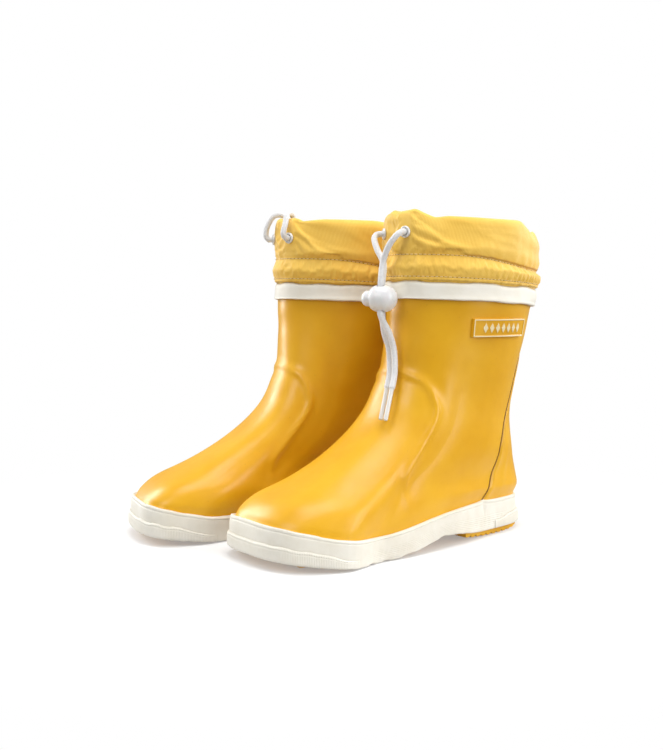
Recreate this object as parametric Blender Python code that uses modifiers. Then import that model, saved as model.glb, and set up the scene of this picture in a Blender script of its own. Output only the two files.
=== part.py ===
"""A pair of pull-on rubber deck boots with a drawstring collar.

Metres, +Z up, toes towards -Y, the wearer's left boot at +X.
Each boot is laid out in its own frame, in millimetres: out (towards the outer side of the foot),
forward (from the heel) and up. place() turns those into world metres and mirrors the right boot.
"""
import math

import bpy
import bmesh
import numpy as np
from mathutils import Matrix, Vector

MM = 0.001
CLEAR = 0.3                    # gap left between neighbouring pieces, mm

# ---------------------------------------------------------------- driving dimensions, mm
FOOT_CENTRE = 110.0            # forward distance that sits on each boot's own origin
LEFT_STAND = (58.6, 7.8, 0.0)          # x, y, turn in degrees
RIGHT_STAND = (-45.6, -16.8, -13.5)

# The boot's skin as tilted closed sections, sole edge to collar top:
# forward and up of the front point, forward and up of the back point, half width outer, inner,
# and how much the section is shaped like a foot (1) instead of a plain oval (0).
SECTIONS = np.array([
    (222.0, 10.4, -3.0, 3.8, 44.0, 41.0, 1.00),        # 0 lower edge of the white foxing
    (220.0, 34.8, -1.0, 24.0, 44.0, 40.5, 1.00),      # 1 upper edge of the foxing
    (207.2, 42.5, -2.0, 31.5, 41.0, 39.5, 0.90),
    (183.0, 46.8, 1.0, 44.0, 36.5, 34.5, 0.65),
    (134.0, 74.5, 6.5, 58.0, 36.5, 34.5, 0.50),
    (113.0, 110.0, 11.0, 82.0, 35.0, 35.5, 0.30),     # 5 ankle
    (108.5, 141.0, 8.5, 105.0, 37.0, 37.5, 0.10),
    (108.5, 158.0, -0.5, 136.5, 40.0, 40.0, 0.00),
    (108.5, 166.0, -6.0, 160.5, 42.5, 42.0, 0.00),    # 8 lower edge of the top band
    (110.0, 176.5, -12.0, 171.0, 43.2, 42.3, 0.00),   # 9 upper edge of the top band
    (110.0, 223.0, -15.0, 217.0, 43.2, 42.3, 0.00),   # 10 top of the collar
])
# Foot outline: half width factors at these fractions of the length, heel to toe
OUTLINE_AT = (0.0, 0.2, 0.4, 0.66, 0.85, 1.0)
OUTLINE_OUTER = (0.82, 0.72, 0.79, 0.92, 1.28, 1.40)
OUTLINE_INNER = (0.82, 0.76, 0.74, 0.98, 1.19, 1.31)
FRONT_ROUNDNESS = 2.95         # superellipse exponents of the foot's front and back halves
BACK_ROUNDNESS = 2.1
TOE_TOWARDS_INNER = 14.0       # the toe's point lies this far to the inner side
BALL_AT, BALL_SPAN = 0.736, 0.29
ARCH_AT, ARCH_SPAN = 0.43, 0.11
BALL_DIP_TOP, BALL_DIP_BOTTOM = 15.5, 8.2
ARCH_RISE = 4.6

RUBBER, LINING_CLOTH, COLLAR_CLOTH = 2.2, 1.2, 0.9
FOXING, BAND, GUARD, PATCH = 2.2, 1.2, 1.3, 0.8
SOLE_INTO_FOXING = 5.0         # height of the outsole's top above the foxing's lower edge
MIDSOLE, INSOLE_BOARD, FOOTBED = 4.0, 1.5, 4.0
SOLE, PLATE_GAP = 3.8, 2.0
TOE_SPRING_FROM, TOE_SPRING_CURVE = 168.0, 0.0022
PLATE_END = math.radians(9.0)   # how near to the toe's and heel's points a plate's end rows lie
HEEL_BARS = [8.0 + 11.0 * k for k in range(6)]      # tread bars, measured forward from the heel
FORE_BARS = [118.0 + 12.0 * k for k in range(8)]
BAR_HALF, BAR_INTO_SOLE = 3.2, 3.4
BAR_LEAST_HEIGHT, BAR_LEAST_WIDTH = 2.0, 12.0
HEEL_BAR_INSET, FORE_BAR_INSET = 5.0, 12.0

N_AROUND = 28
ANGLES = [2 * math.pi * k / N_AROUND for k in range(N_AROUND)]
UPPER_LEVELS = (0.32, 1.06, 1.18, 1.5, 2.2, 3.0, 4.0, 5.0, 6.0, 6.4, 7.0, 8.0, 8.45, 8.9)
LINING_LEVELS = (1.18, 1.5, 2.2, 3.0, 4.0, 5.0, 6.0, 6.4, 7.0, 8.0, 8.85)
# the collar's one strip of cloth, from its tucked hem over the fold to its inner hem:
# level on the skin, and distance out from it
COLLAR_STRIP = ((8.45, 0.15), (8.97, -1.15), (9.06, 0.7), (9.2, 1.3), (9.36, 0.9), (9.47, -0.3),
                (9.62, 0.6), (9.82, 0.7), (9.96, -0.2), (10.02, -2.2), (10.02, -4.6),
                (9.93, -6.4), (9.7, -7.0), (9.35, -7.2), (9.0, -7.2))

# Side outlines, forward and up: the instep reinforcement and the heel counter's front seam
INSTEP_EDGE = ((150.0, 150.0), (110.0, 117.0), (103.0, 110.7), (99.3, 104.0), (98.5, 94.0), (101.5, 85.6),
               (106.0, 79.0), (113.0, 71.0), (121.4, 61.0), (127.5, 53.0), (128.8, 48.0), (129.3, 42.0),
               (127.9, 34.0), (124.0, 25.9), (124.0, -20.0), (250.0, -20.0), (250.0, 150.0))
COUNTER_SEAM = ((51.0, 10.0), (50.5, 28.0), (40.5, 52.0), (32.0, 78.0), (26.0, 90.0), (21.5, 100.0),
                (15.0, 116.0), (4.0, 134.0), (-30.0, 146.0), (-30.0, 10.0))
BADGE_CENTRE, BADGE_SIZE, BADGE_THICK = (50.5, 146.6), (48.0, 12.6), 2.4
HEEL_TAB_TOP, HEEL_TAB_HALF, HEEL_TAB_THICK = 40.0, 8.0, 0.8

EYELET_LEVEL, EYELET_OUTER_ANGLE, EYELET_INNER_ANGLE = 9.74, 12.0, -20.0
EYELET_FLANGE, EYELET_HOLE, EYELET_BARREL = 3.9, 2.3, 2.75     # radii
CORD = 4.2                     # drawstring diameter
TUNNEL_CORD = 3.6              # the same cord squeezed flat in its tunnel
AGLET, AGLET_LENGTH = 3.0, 23.0

# Cord lock, measured along its button from the middle of the pair of cords, which run through it
LOCK_RADIUS = 9.1
LOCK_FRONT_FACE, LOCK_FRONT_CENTRE, LOCK_BACK_CENTRE = 7.6, 1.0, -1.5
LOCK_BORE_RADIUS, LOCK_BORE_FLOOR = 5.5, -6.3
LOCK_POCKET_RADIUS, LOCK_POCKET_FLOOR = 3.5, -8.9
LOCK_SLOT_ALONG, LOCK_SLOT_ACROSS = 5.0, 9.2
BUTTON_RADIUS, BUTTON_TIP, BUTTON_FOOT = 5.2, 13.8, -3.9
BUTTON_SLOT_FROM, BUTTON_SLOT_TO, BUTTON_SLOT_ACROSS = -2.4, 4.7, 9.0
SPRING_RADIUS, SPRING_WIRE, SPRING_TURNS = 2.6, 0.6, 3
# Where each lock sits on its cords and which way its button points: out, forward, up
LEFT_LOCK, LEFT_BUTTON = (0.5, 122.4, 166.0), (-0.8, 0.6, 0.0)
RIGHT_LOCK, RIGHT_BUTTON = (0.0, 86.0, 186.0), (0.0, -1.0, 0.0)
RIGHT_SWING = (0.0, 100.0, 222.0)      # where the right boot's cords bend over the collar

COLOURS = {
    "yellow_rubber": ((0.78, 0.44, 0.03), 0.42, 0.0),
    "white_rubber": ((0.80, 0.77, 0.68), 0.55, 0.0),
    "collar_nylon": ((0.85, 0.52, 0.10), 0.75, 0.0),
    "lining_cotton": ((0.70, 0.62, 0.45), 0.95, 0.0),
    "board": ((0.45, 0.36, 0.25), 0.9, 0.0),
    "foam": ((0.25, 0.25, 0.27), 0.9, 0.0),
    "white_cord": ((0.86, 0.86, 0.86), 0.8, 0.0),
    "white_plastic": ((0.88, 0.88, 0.88), 0.3, 0.0),
    "clear_plastic": ((0.85, 0.86, 0.86), 0.15, 0.0),
    "painted_metal": ((0.86, 0.86, 0.86), 0.35, 0.6),
    "spring_steel": ((0.6, 0.6, 0.6), 0.3, 1.0),
    "grey_tab": ((0.18, 0.18, 0.18), 0.5, 0.0),
}


# ---------------------------------------------------------------- the skin of the boot
def smooth_value(column, level):
    """Catmull-Rom value of a column of SECTIONS at a fractional level."""
    last = len(SECTIONS) - 1
    i = min(max(int(math.floor(level)), 0), last - 1)
    t = level - i
    p1, p2 = SECTIONS[i, column], SECTIONS[i + 1, column]
    p0 = SECTIONS[i - 1, column] if i > 0 else 2 * p1 - p2
    p3 = SECTIONS[i + 2, column] if i + 2 <= last else 2 * p2 - p1
    if i == 0 or i == 1:
        p0 = 2 * p1 - p2 if i == 0 else p1 - (p2 - p1) * 0.3
    return 0.5 * (2 * p1 + (p2 - p0) * t + (2 * p0 - 5 * p1 + 4 * p2 - p3) * t * t
                  + (3 * p1 - p0 - 3 * p2 + p3) * t ** 3)


def bell(x, centre, span):
    return math.exp(-((x - centre) / span) ** 2)


def outline_factor(factors, at):
    return float(np.interp(at, np.linspace(0, 1, 41), OUTLINE_CURVES[factors]))


def smooth_outline(factors):
    """The outline factors resampled with eased steps between the given points."""
    samples = []
    for at in np.linspace(0, 1, 41):
        k = min(int(np.searchsorted(OUTLINE_AT, at, side="right")) - 1, len(OUTLINE_AT) - 2)
        t = (at - OUTLINE_AT[k]) / (OUTLINE_AT[k + 1] - OUTLINE_AT[k])
        t = t * t * (3 - 2 * t)
        samples.append(factors[k] * (1 - t) + factors[k + 1] * t)
    return samples


OUTLINE_CURVES = {"outer": smooth_outline(OUTLINE_OUTER), "inner": smooth_outline(OUTLINE_INNER)}


def wall(level, angle):
    """Point of the skin: angle 0 is the front, positive turns to the outer side."""
    front, front_up, back, back_up, outer, inner, foot = [smooth_value(c, level) for c in range(7)]
    c, s = math.cos(angle), math.sin(angle)
    power = 2 / ((2 + (FRONT_ROUNDNESS - 2) * foot) if c > 0 else (2 + (BACK_ROUNDNESS - 2) * foot))
    along = (1 + math.copysign(abs(c) ** power, c)) / 2
    across = abs(s) ** power
    half, factors = (outer, "outer") if s >= 0 else (inner, "inner")
    width = half * (1 - foot * (1 - outline_factor(factors, along)))
    toe = max(0.0, (along - 0.45) / 0.55) ** 1.6
    out = math.copysign(width * across, s) - TOE_TOWARDS_INNER * foot * toe
    up = back_up + along * (front_up - back_up)
    ease = max(0.0, min(1.0, level))
    fade = max(0.0, 1 - max(level - 1, 0.0) / 2.2) ** 1.5
    dip = BALL_DIP_BOTTOM + (BALL_DIP_TOP - BALL_DIP_BOTTOM) * ease
    rise = ARCH_RISE * (1 - ease)
    up += fade * (rise * bell(along, ARCH_AT, ARCH_SPAN) - dip * bell(along, BALL_AT, BALL_SPAN))
    return np.array((out, back + along * (front - back), up))


def wall_normal(level, angle):
    dl, da = 0.04, 0.03
    up = wall(min(level + dl, 10.0), angle) - wall(max(level - dl, 0.0), angle)
    around = wall(level, angle + da) - wall(level, angle - da)
    n = np.cross(up, around)
    return n / np.linalg.norm(n)


def under(level):
    """How far the rubber upper lies inside the skin: under the foxing and under the band."""
    if level <= 1.06:
        return -(FOXING + CLEAR)
    if level < 2.2:
        t = (level - 1.06) / 1.14
        return -(FOXING + CLEAR) * (1 - t * t * (3 - 2 * t))
    return -2.6 * max(0.0, min(1.0, level - 8.0))


def skin(level, angle, distance=0.0):
    extra = max(level - 10.0, 0.0)
    base = min(level, 10.0)
    p = wall(base, angle) + wall_normal(base, angle) * distance
    p[2] += extra * 47.0
    return p


# ---------------------------------------------------------------- placing and making objects
def place(side, p):
    """World metres of a point of a boot, given in millimetres in the boot's own frame."""
    x0, y0, turn = LEFT_STAND if side == "left" else RIGHT_STAND
    x = p[0] if side == "left" else -p[0]
    y = FOOT_CENTRE - p[1]
    c, s = math.cos(math.radians(turn)), math.sin(math.radians(turn))
    return Vector((x0 + x * c - y * s, y0 + x * s + y * c, p[2])) * MM


def place_direction(side, d):
    return (place(side, np.array(d)) - place(side, np.zeros(3))).normalized()


def material(name):
    if name in bpy.data.materials:
        return bpy.data.materials[name]
    colour, roughness, metallic = COLOURS[name]
    made = bpy.data.materials.new(name)
    made.use_nodes = True
    shader = made.node_tree.nodes["Principled BSDF"]
    shader.inputs["Base Color"].default_value = (*colour, 1.0)
    shader.inputs["Roughness"].default_value = roughness
    shader.inputs["Metallic"].default_value = metallic
    return made


def new_object(name, mesh, colour, collection):
    thing = bpy.data.objects.new(name, mesh)
    collection.objects.link(thing)
    if colour:
        mesh.materials.clear()
        mesh.materials.append(material(colour))
        mesh.shade_smooth()
        mesh.set_sharp_from_angle(angle=math.radians(40))
    return thing


def grid_object(side, name, rows, colour, thickness, around):
    """An open grid of points, its outer face given, thickened inwards with Solidify."""
    bm = bmesh.new()
    verts = [[bm.verts.new(place(side, p)) for p in row] for row in rows]
    count = len(rows[0])
    for low, high in zip(verts, verts[1:]):
        for k in range(count if around else count - 1):
            j = (k + 1) % count
            bm.faces.new((low[k], low[j], high[j]))
            bm.faces.new((low[k], high[j], high[k]))
    if side == "right":
        bmesh.ops.reverse_faces(bm, faces=bm.faces)
    mesh = bpy.data.meshes.new(name)
    bm.to_mesh(mesh)
    bm.free()
    thing = new_object(name, mesh, colour, BOOTS)
    solid = thing.modifiers.new("thickness", "SOLIDIFY")
    solid.thickness = thickness * MM
    solid.offset = -1.0
    return thing


def hide_cutter(thing):
    for collection in list(thing.users_collection):
        collection.objects.unlink(thing)
    CUTTERS.objects.link(thing)
    thing.hide_render = True
    thing.display_type = "WIRE"
    return thing


def boolean(thing, cutter, operation):
    step = thing.modifiers.new(cutter.name, "BOOLEAN")
    step.object = cutter
    step.operation = operation
    step.solver = "EXACT"


def side_prism(side, name, outline, out_from=-80.0, out_to=80.0):
    """A cutter: an outline in forward and up, extruded across the boot."""
    bm = bmesh.new()
    ends = [[bm.verts.new(place(side, (out, f, u))) for f, u in outline] for out in (out_from, out_to)]
    bm.faces.new(ends[0])
    bm.faces.new(list(reversed(ends[1])))
    n = len(outline)
    for k in range(n):
        j = (k + 1) % n
        bm.faces.new((ends[0][j], ends[0][k], ends[1][k], ends[1][j]))
    bmesh.ops.recalc_face_normals(bm, faces=bm.faces)
    mesh = bpy.data.meshes.new(name)
    bm.to_mesh(mesh)
    bm.free()
    return hide_cutter(new_object(name, mesh, None, CUTTERS))


def axis_matrix(origin, axis):
    """A frame whose Z runs along axis, at a world point."""
    turn = Vector((0, 0, 1)).rotation_difference(Vector(axis)).to_matrix().to_4x4()
    return Matrix.Translation(origin) @ turn


def turned(name, profile, origin, axis, colour, steps=16):
    """A turned piece: (radius, height) points run down its outer side, in mm, about an axis."""
    mesh = bpy.data.meshes.new(name)
    points = [(r * MM, 0.0, h * MM) for r, h in profile]
    edges = [(k, k + 1) for k in range(len(points) - 1)]
    if profile[0][0] > 0 and profile[-1][0] > 0:
        edges.append((len(points) - 1, 0))
    mesh.from_pydata(points, edges, [])
    thing = new_object(name, mesh, colour, BOOTS)
    screw = thing.modifiers.new("turn", "SCREW")
    screw.steps = steps
    screw.render_steps = steps
    screw.use_merge_vertices = True
    screw.merge_threshold = 0.00002
    thing.matrix_world = axis_matrix(origin, axis)
    return thing


def smooth_route(points, step):
    """Points of a Catmull-Rom curve through the given ones, about a step apart."""
    pts = [np.array(p, float) for p in points]
    pts = [2 * pts[0] - pts[1]] + pts + [2 * pts[-1] - pts[-2]]
    dense = []
    for p0, p1, p2, p3 in zip(pts, pts[1:], pts[2:], pts[3:]):
        for t in np.linspace(0, 1, 16, endpoint=False):
            dense.append(0.5 * (2 * p1 + (p2 - p0) * t + (2 * p0 - 5 * p1 + 4 * p2 - p3) * t * t
                                + (3 * p1 - p0 - 3 * p2 + p3) * t ** 3))
    dense.append(pts[-2])
    dense = np.array(dense)
    run = np.concatenate([[0], np.cumsum(np.linalg.norm(np.diff(dense, axis=0), axis=1))])
    count = max(3, int(round(run[-1] / step)) + 1)
    at = np.linspace(0, run[-1], count)
    return [np.array([np.interp(a, run, dense[:, k]) for k in range(3)]) for a in at]


def tube(name, world_points, diameter, colour, resolution=2):
    """A cord: a POLY curve with a round bevel and filled caps."""
    curve = bpy.data.curves.new(name, "CURVE")
    curve.dimensions = "3D"
    spline = curve.splines.new("POLY")
    spline.points.add(len(world_points) - 1)
    for point, p in zip(spline.points, world_points):
        point.co = (*p, 1.0)
    curve.bevel_depth = diameter / 2 * MM
    curve.bevel_resolution = resolution
    curve.use_fill_caps = True
    curve.materials.append(material(colour))
    thing = bpy.data.objects.new(name, curve)
    BOOTS.objects.link(thing)
    return thing


# ---------------------------------------------------------------- the sole
def plate(side, name, inset, top, thickness, colour):
    """A board that follows the sole's curve: its top lies above the foxing's lower edge."""
    rows = []
    for turn in [PLATE_END] + ANGLES[1:N_AROUND // 2] + [math.pi - PLATE_END]:
        ends = []
        for angle in (-turn, turn):
            p = wall(0, angle)
            n = wall_normal(0.5, angle)
            flat = np.array((n[0], n[1], 0.0)) / math.hypot(n[0], n[1])
            q = p - flat * inset
            q[2] += top
            ends.append(q)
        middle_up = (ends[0][2] + ends[1][2]) / 2
        for q in ends:
            q[2] = middle_up
        rows.append(ends)
    return grid_object(side, name, rows, colour, thickness, around=False)


def ground_line(forward):
    """How high the tread's lowest points are: flat, then rising under the toe."""
    return max(0.0, forward - TOE_SPRING_FROM) ** 2 * TOE_SPRING_CURVE


def edge_at(forward, turn):
    """The foxing's lower edge at this distance forward, on the outer (+1) or inner (-1) side."""
    edge = [wall(0.0, turn * a) for a in np.linspace(math.pi, 0.0, 91)]
    forwards = [p[1] for p in edge]
    return [float(np.interp(forward, forwards, [p[k] for p in edge])) for k in (0, 2)]


def outsole(side):
    base = plate(side, f"{side}_outsole", FOXING + 5 * CLEAR, SOLE_INTO_FOXING, SOLE, "yellow_rubber")
    bars = bmesh.new()
    for forward in HEEL_BARS + FORE_BARS:
        inset = HEEL_BAR_INSET if forward in HEEL_BARS else FORE_BAR_INSET
        ends = (forward - BAR_HALF, forward + BAR_HALF)
        outer = [edge_at(f, 1) for f in ends]
        inner = [edge_at(f, -1) for f in ends]
        right = min(x for x, _ in outer) - inset
        left = max(x for x, _ in inner) + inset
        roof = min(z for _, z in outer + inner) + BAR_INTO_SOLE
        floor = ground_line(forward)
        if roof - floor < BAR_LEAST_HEIGHT or right - left < BAR_LEAST_WIDTH:
            continue
        corners = [bars.verts.new(place(side, (x, f, z))) for z in (floor, roof)
                   for f in ends for x in (left, right)]
        for quad in ((0, 1, 3, 2), (4, 6, 7, 5), (0, 4, 5, 1), (1, 5, 7, 3), (3, 7, 6, 2), (2, 6, 4, 0)):
            bars.faces.new([corners[k] for k in quad])
    bmesh.ops.recalc_face_normals(bars, faces=bars.faces)
    mesh = bpy.data.meshes.new(f"{side}_tread")
    bars.to_mesh(mesh)
    bars.free()
    tread = hide_cutter(new_object(f"{side}_tread", mesh, None, CUTTERS))
    boolean(base, tread, "UNION")


def sole_stack(side):
    outsole(side)
    inside_upper = FOXING + RUBBER + PLATE_GAP
    board_top = SOLE_INTO_FOXING + CLEAR + MIDSOLE + CLEAR + INSOLE_BOARD
    plate(side, f"{side}_midsole", inside_upper, SOLE_INTO_FOXING + CLEAR + MIDSOLE, MIDSOLE, "foam")
    plate(side, f"{side}_insole_board", inside_upper, board_top, INSOLE_BOARD, "board")
    inside_lining = inside_upper + LINING_CLOTH + 4 * CLEAR
    plate(side, f"{side}_footbed", inside_lining, board_top + CLEAR + FOOTBED, FOOTBED, "lining_cotton")


def strip(side, name, low, high, degrees_from, degrees_to, proud, thickness, colour, rows=2):
    """A rubber strip round part of the foot, between two levels of the skin."""
    if degrees_to - degrees_from >= 360:
        angles, around = ANGLES, True
    else:
        inside = [a for a in (2 * math.pi * k / N_AROUND for k in range(-N_AROUND, N_AROUND + 1))
                  if math.radians(degrees_from) - 1e-6 <= a <= math.radians(degrees_to) + 1e-6]
        angles, around = inside, False
    levels = np.linspace(low, high, rows)
    grid = [[skin(level, a, proud) for a in angles] for level in levels]
    return grid_object(side, name, grid, colour, thickness, around)


# ---------------------------------------------------------------- the upper
def shell(side, name, levels, distance, thickness, colour):
    grid = [[skin(level, a, under(level) + distance) for a in ANGLES] for level in levels]
    return grid_object(side, name, grid, colour, thickness, around=True)


def skin_patch(side, name, levels, angle_steps, distance, thickness, colour, outline):
    """A patch that lies on the upper, cut to an outline seen from the side."""
    angles = [2 * math.pi * k / N_AROUND for k in angle_steps]
    grid = [[skin(level, a, under(level) + distance) for a in angles] for level in levels]
    patch = grid_object(side, name, grid, colour, thickness, around=False)
    boolean(patch, side_prism(side, f"{name}_cutter", outline), "INTERSECT")
    return patch


def rectangle(centre, size):
    f, u = centre
    w, h = size[0] / 2, size[1] / 2
    return ((f - w, u - h), (f + w, u - h), (f + w, u + h), (f - w, u + h))


def collar(side):
    rows = []
    for level, distance in COLLAR_STRIP:
        rows.append([skin(level, a, distance) for a in ANGLES])
    return grid_object(side, f"{side}_collar", rows, "collar_nylon", COLLAR_CLOTH, around=True)


# ---------------------------------------------------------------- eyelets and drawstring
def eyelet_frame(side, degrees):
    """Where an eyelet's flange meets the collar cloth, and its direction, in the boot's frame."""
    angle = math.radians(degrees)
    normal = wall_normal(EYELET_LEVEL, angle)
    return skin(EYELET_LEVEL, angle, 1.05), normal


def eyelet(side, name, degrees, cloth):
    point, normal = eyelet_frame(side, degrees)
    origin, axis = place(side, point), place_direction(side, normal)
    flange = ((EYELET_HOLE, 1.0), (EYELET_FLANGE - 0.6, 1.1), (EYELET_FLANGE, 0.3), (EYELET_BARREL, 0.0),
              (EYELET_BARREL, -2.6), (EYELET_HOLE, -2.6))
    turned(f"{side}_eyelet_{name}", flange, origin, axis, "painted_metal")
    washer = ((EYELET_BARREL + CLEAR, -1.9), (EYELET_FLANGE, -1.9), (EYELET_FLANGE, -2.4),
              (EYELET_BARREL + CLEAR, -2.4))
    turned(f"{side}_washer_{name}", washer, origin, axis, "painted_metal")
    bpy.ops.mesh.primitive_cylinder_add(vertices=16, radius=(EYELET_BARREL + CLEAR) * MM, depth=6 * MM)
    hole = bpy.context.object
    hole.name = f"{side}_eyelet_hole_{name}"
    hole.matrix_world = axis_matrix(origin - axis * 0.5 * MM, axis)
    boolean(cloth, hide_cutter(hole), "DIFFERENCE")


def tunnel_cord(side):
    """The part of the drawstring inside the collar, round the back from eyelet to eyelet."""
    start = EYELET_OUTER_ANGLE + 7
    end = 360 + EYELET_INNER_ANGLE - 7
    points = [place(side, skin(9.76, math.radians(d), -3.55)) for d in np.linspace(start, end, 27)]
    tube(f"{side}_tunnel_cord", points, TUNNEL_CORD, "white_cord")


def drawstring_end(side, name, route):
    """One free end of the drawstring, from its eyelet to its aglet."""
    points = smooth_route(route, 2.4 * CORD)
    world = [place(side, p) for p in points]
    tube(f"{side}_drawstring_{name}", world, CORD, "white_cord")
    axis = (world[-1] - world[-2]).normalized()
    start = world[-1] + axis * CLEAR * MM
    r = AGLET / 2
    body = ((0.0, AGLET_LENGTH), (r * 0.6, AGLET_LENGTH), (r, AGLET_LENGTH - 1.2), (r, 0.0), (0.0, 0.0))
    turned(f"{side}_aglet_{name}", body, start, axis, "clear_plastic", steps=10)


# ---------------------------------------------------------------- the cord lock
def cylinder_cutter(name, centre, axis, radius, low, high):
    bpy.ops.mesh.primitive_cylinder_add(vertices=16, radius=radius * MM, depth=(high - low) * MM)
    made = bpy.context.object
    made.name = name
    made.matrix_world = axis_matrix(centre + axis * (low + high) / 2 * MM, axis)
    return hide_cutter(made)


def slot_cutter(name, centre, cords, button, low, high, across):
    """A box right through along the cords, from low to high along the button's axis."""
    bpy.ops.mesh.primitive_cube_add(size=1.0)
    made = bpy.context.object
    made.name = name
    made.data.transform(Matrix.Diagonal(((high - low) * MM, across * MM, 4 * LOCK_RADIUS * MM, 1.0)))
    turn = Matrix((button, cords.cross(button), cords)).transposed().to_4x4()
    made.matrix_world = Matrix.Translation(centre + button * (low + high) / 2 * MM) @ turn
    return hide_cutter(made)


def lock_body(side, centre, cords, button):
    """An egg turned about the button's axis, bored for the button and slotted for the cords."""
    rim = math.acos((BUTTON_RADIUS + 1.0) / LOCK_RADIUS)
    profile = [(0.0, LOCK_FRONT_FACE)]
    for k in range(4):
        a = rim * (1 - k / 3)
        profile.append((LOCK_RADIUS * math.cos(a), LOCK_FRONT_CENTRE + LOCK_RADIUS * math.sin(a)))
    for k in range(5):
        a = -math.pi / 2 * k / 5
        profile.append((LOCK_RADIUS * math.cos(a), LOCK_BACK_CENTRE + LOCK_RADIUS * math.sin(a)))
    profile.append((0.0, LOCK_BACK_CENTRE - LOCK_RADIUS))
    body = turned(f"{side}_cord_lock_body", profile, centre, button, "white_plastic", steps=18)
    bore = cylinder_cutter(f"{side}_lock_bore", centre, button, LOCK_BORE_RADIUS, LOCK_BORE_FLOOR, 20.0)
    pocket = cylinder_cutter(f"{side}_lock_pocket", centre, button, LOCK_POCKET_RADIUS,
                             LOCK_POCKET_FLOOR, 0.0)
    half = LOCK_SLOT_ALONG / 2
    slot = slot_cutter(f"{side}_lock_slot", centre, cords, button, -half, half, LOCK_SLOT_ACROSS)
    for cutter in (bore, pocket, slot):
        boolean(body, cutter, "DIFFERENCE")


def lock_button(side, centre, cords, button):
    """The plunger with its domed head; the cords pass through its window."""
    r = BUTTON_RADIUS
    profile = ((0.0, BUTTON_TIP), (r * 0.5, BUTTON_TIP - 0.5), (r * 0.85, BUTTON_TIP - 1.9),
               (r, BUTTON_TIP - 3.8), (r, BUTTON_FOOT), (0.0, BUTTON_FOOT))
    plunger = turned(f"{side}_cord_lock_button", profile, centre, button, "white_plastic", steps=16)
    window = slot_cutter(f"{side}_button_window", centre, cords, button, BUTTON_SLOT_FROM,
                         BUTTON_SLOT_TO, BUTTON_SLOT_ACROSS)
    boolean(plunger, window, "DIFFERENCE")


def lock_spring(side, centre, cords, button):
    across = cords.cross(button)
    low = LOCK_POCKET_FLOOR + SPRING_WIRE / 2 + CLEAR
    high = BUTTON_FOOT - SPRING_WIRE / 2 - CLEAR
    per_turn = 8
    points = []
    for k in range(SPRING_TURNS * per_turn + 1):
        a = 2 * math.pi * k / per_turn
        lift = low + (high - low) * k / (SPRING_TURNS * per_turn)
        ring = cords * math.cos(a) + across * math.sin(a)
        points.append(centre + (button * lift + ring * SPRING_RADIUS) * MM)
    tube(f"{side}_cord_lock_spring", points, SPRING_WIRE, "spring_steel", resolution=1)


def cord_lock(side, centre_point, cords_direction, button_direction):
    centre = place(side, np.array(centre_point))
    cords = place_direction(side, cords_direction)
    button = place_direction(side, button_direction)
    lock_body(side, centre, cords, button)
    lock_button(side, centre, cords, button)
    lock_spring(side, centre, cords, button)


# ---------------------------------------------------------------- one boot
def boot(side):
    sole_stack(side)
    strip(side, f"{side}_foxing", 0.0, 1.0, 0, 360, 0.0, FOXING, "white_rubber", rows=3)
    strip(side, f"{side}_toe_guard", 0.02, 0.42, -64, 64, GUARD + CLEAR, GUARD, "white_rubber")
    strip(side, f"{side}_heel_guard", 0.02, 0.42, 128, 232, GUARD + CLEAR, GUARD, "white_rubber")
    shell(side, f"{side}_upper", UPPER_LEVELS, 0.0, RUBBER, "yellow_rubber")
    shell(side, f"{side}_lining", LINING_LEVELS, -(RUBBER + 3 * CLEAR), LINING_CLOTH, "lining_cotton")
    patch_out = CLEAR + PATCH
    front_steps = range(-N_AROUND // 4 - 1, N_AROUND // 4 + 2)
    skin_patch(side, f"{side}_instep_reinforcement", (1.18, 1.5, 2.2, 3.0, 4.0, 5.0, 6.0, 6.4),
               front_steps, patch_out, PATCH, "yellow_rubber", INSTEP_EDGE)
    back_steps = range(N_AROUND // 4 + 1, 3 * N_AROUND // 4)
    skin_patch(side, f"{side}_heel_counter", (1.18, 1.5, 2.2, 3.0, 4.0, 5.0, 6.0, 7.0),
               back_steps, patch_out, PATCH, "yellow_rubber", COUNTER_SEAM)
    tab_outline = ((-30.0, 10.0), (HEEL_TAB_HALF, 10.0), (HEEL_TAB_HALF, HEEL_TAB_TOP), (-30.0, HEEL_TAB_TOP))
    skin_patch(side, f"{side}_heel_tab", (1.16, 1.5, 2.2, 3.0), range(N_AROUND // 2 - 1, N_AROUND // 2 + 2),
               patch_out + CLEAR + HEEL_TAB_THICK, HEEL_TAB_THICK, "grey_tab", tab_outline)
    skin_patch(side, f"{side}_badge", (6.0, 7.0, 8.0), range(3, 12), CLEAR + BADGE_THICK, BADGE_THICK,
               "yellow_rubber", rectangle(BADGE_CENTRE, BADGE_SIZE))
    band_levels = (8.0, 8.45, 8.97)
    shell(side, f"{side}_top_band", band_levels, 2 * CLEAR + COLLAR_CLOTH + BAND + 0.3, BAND, "white_rubber")
    cloth = collar(side)
    eyelet(side, "outer", EYELET_OUTER_ANGLE, cloth)
    eyelet(side, "inner", EYELET_INNER_ANGLE, cloth)
    tunnel_cord(side)


def eyelet_exit(side, degrees, along):
    point, normal = eyelet_frame(side, degrees)
    return point + normal * along


def pivot(name, point, direction, parent, nodes):
    """An empty on a joint's axis, its Z along the axis, that carries the named pieces."""
    carrier = bpy.data.objects.new(name, None)
    carrier.empty_display_size = 0.01
    BOOTS.objects.link(carrier)
    frame = Matrix.Translation(point) @ direction.to_track_quat("Z", "Y").to_matrix().to_4x4()
    carrier.matrix_basis = frame
    if parent:
        carrier.parent = parent
        carrier.matrix_parent_inverse = parent.matrix_basis.inverted()
    for node in nodes:
        thing = bpy.data.objects[node]
        thing.parent = carrier
        thing.matrix_parent_inverse = frame.inverted()
    return carrier


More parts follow.
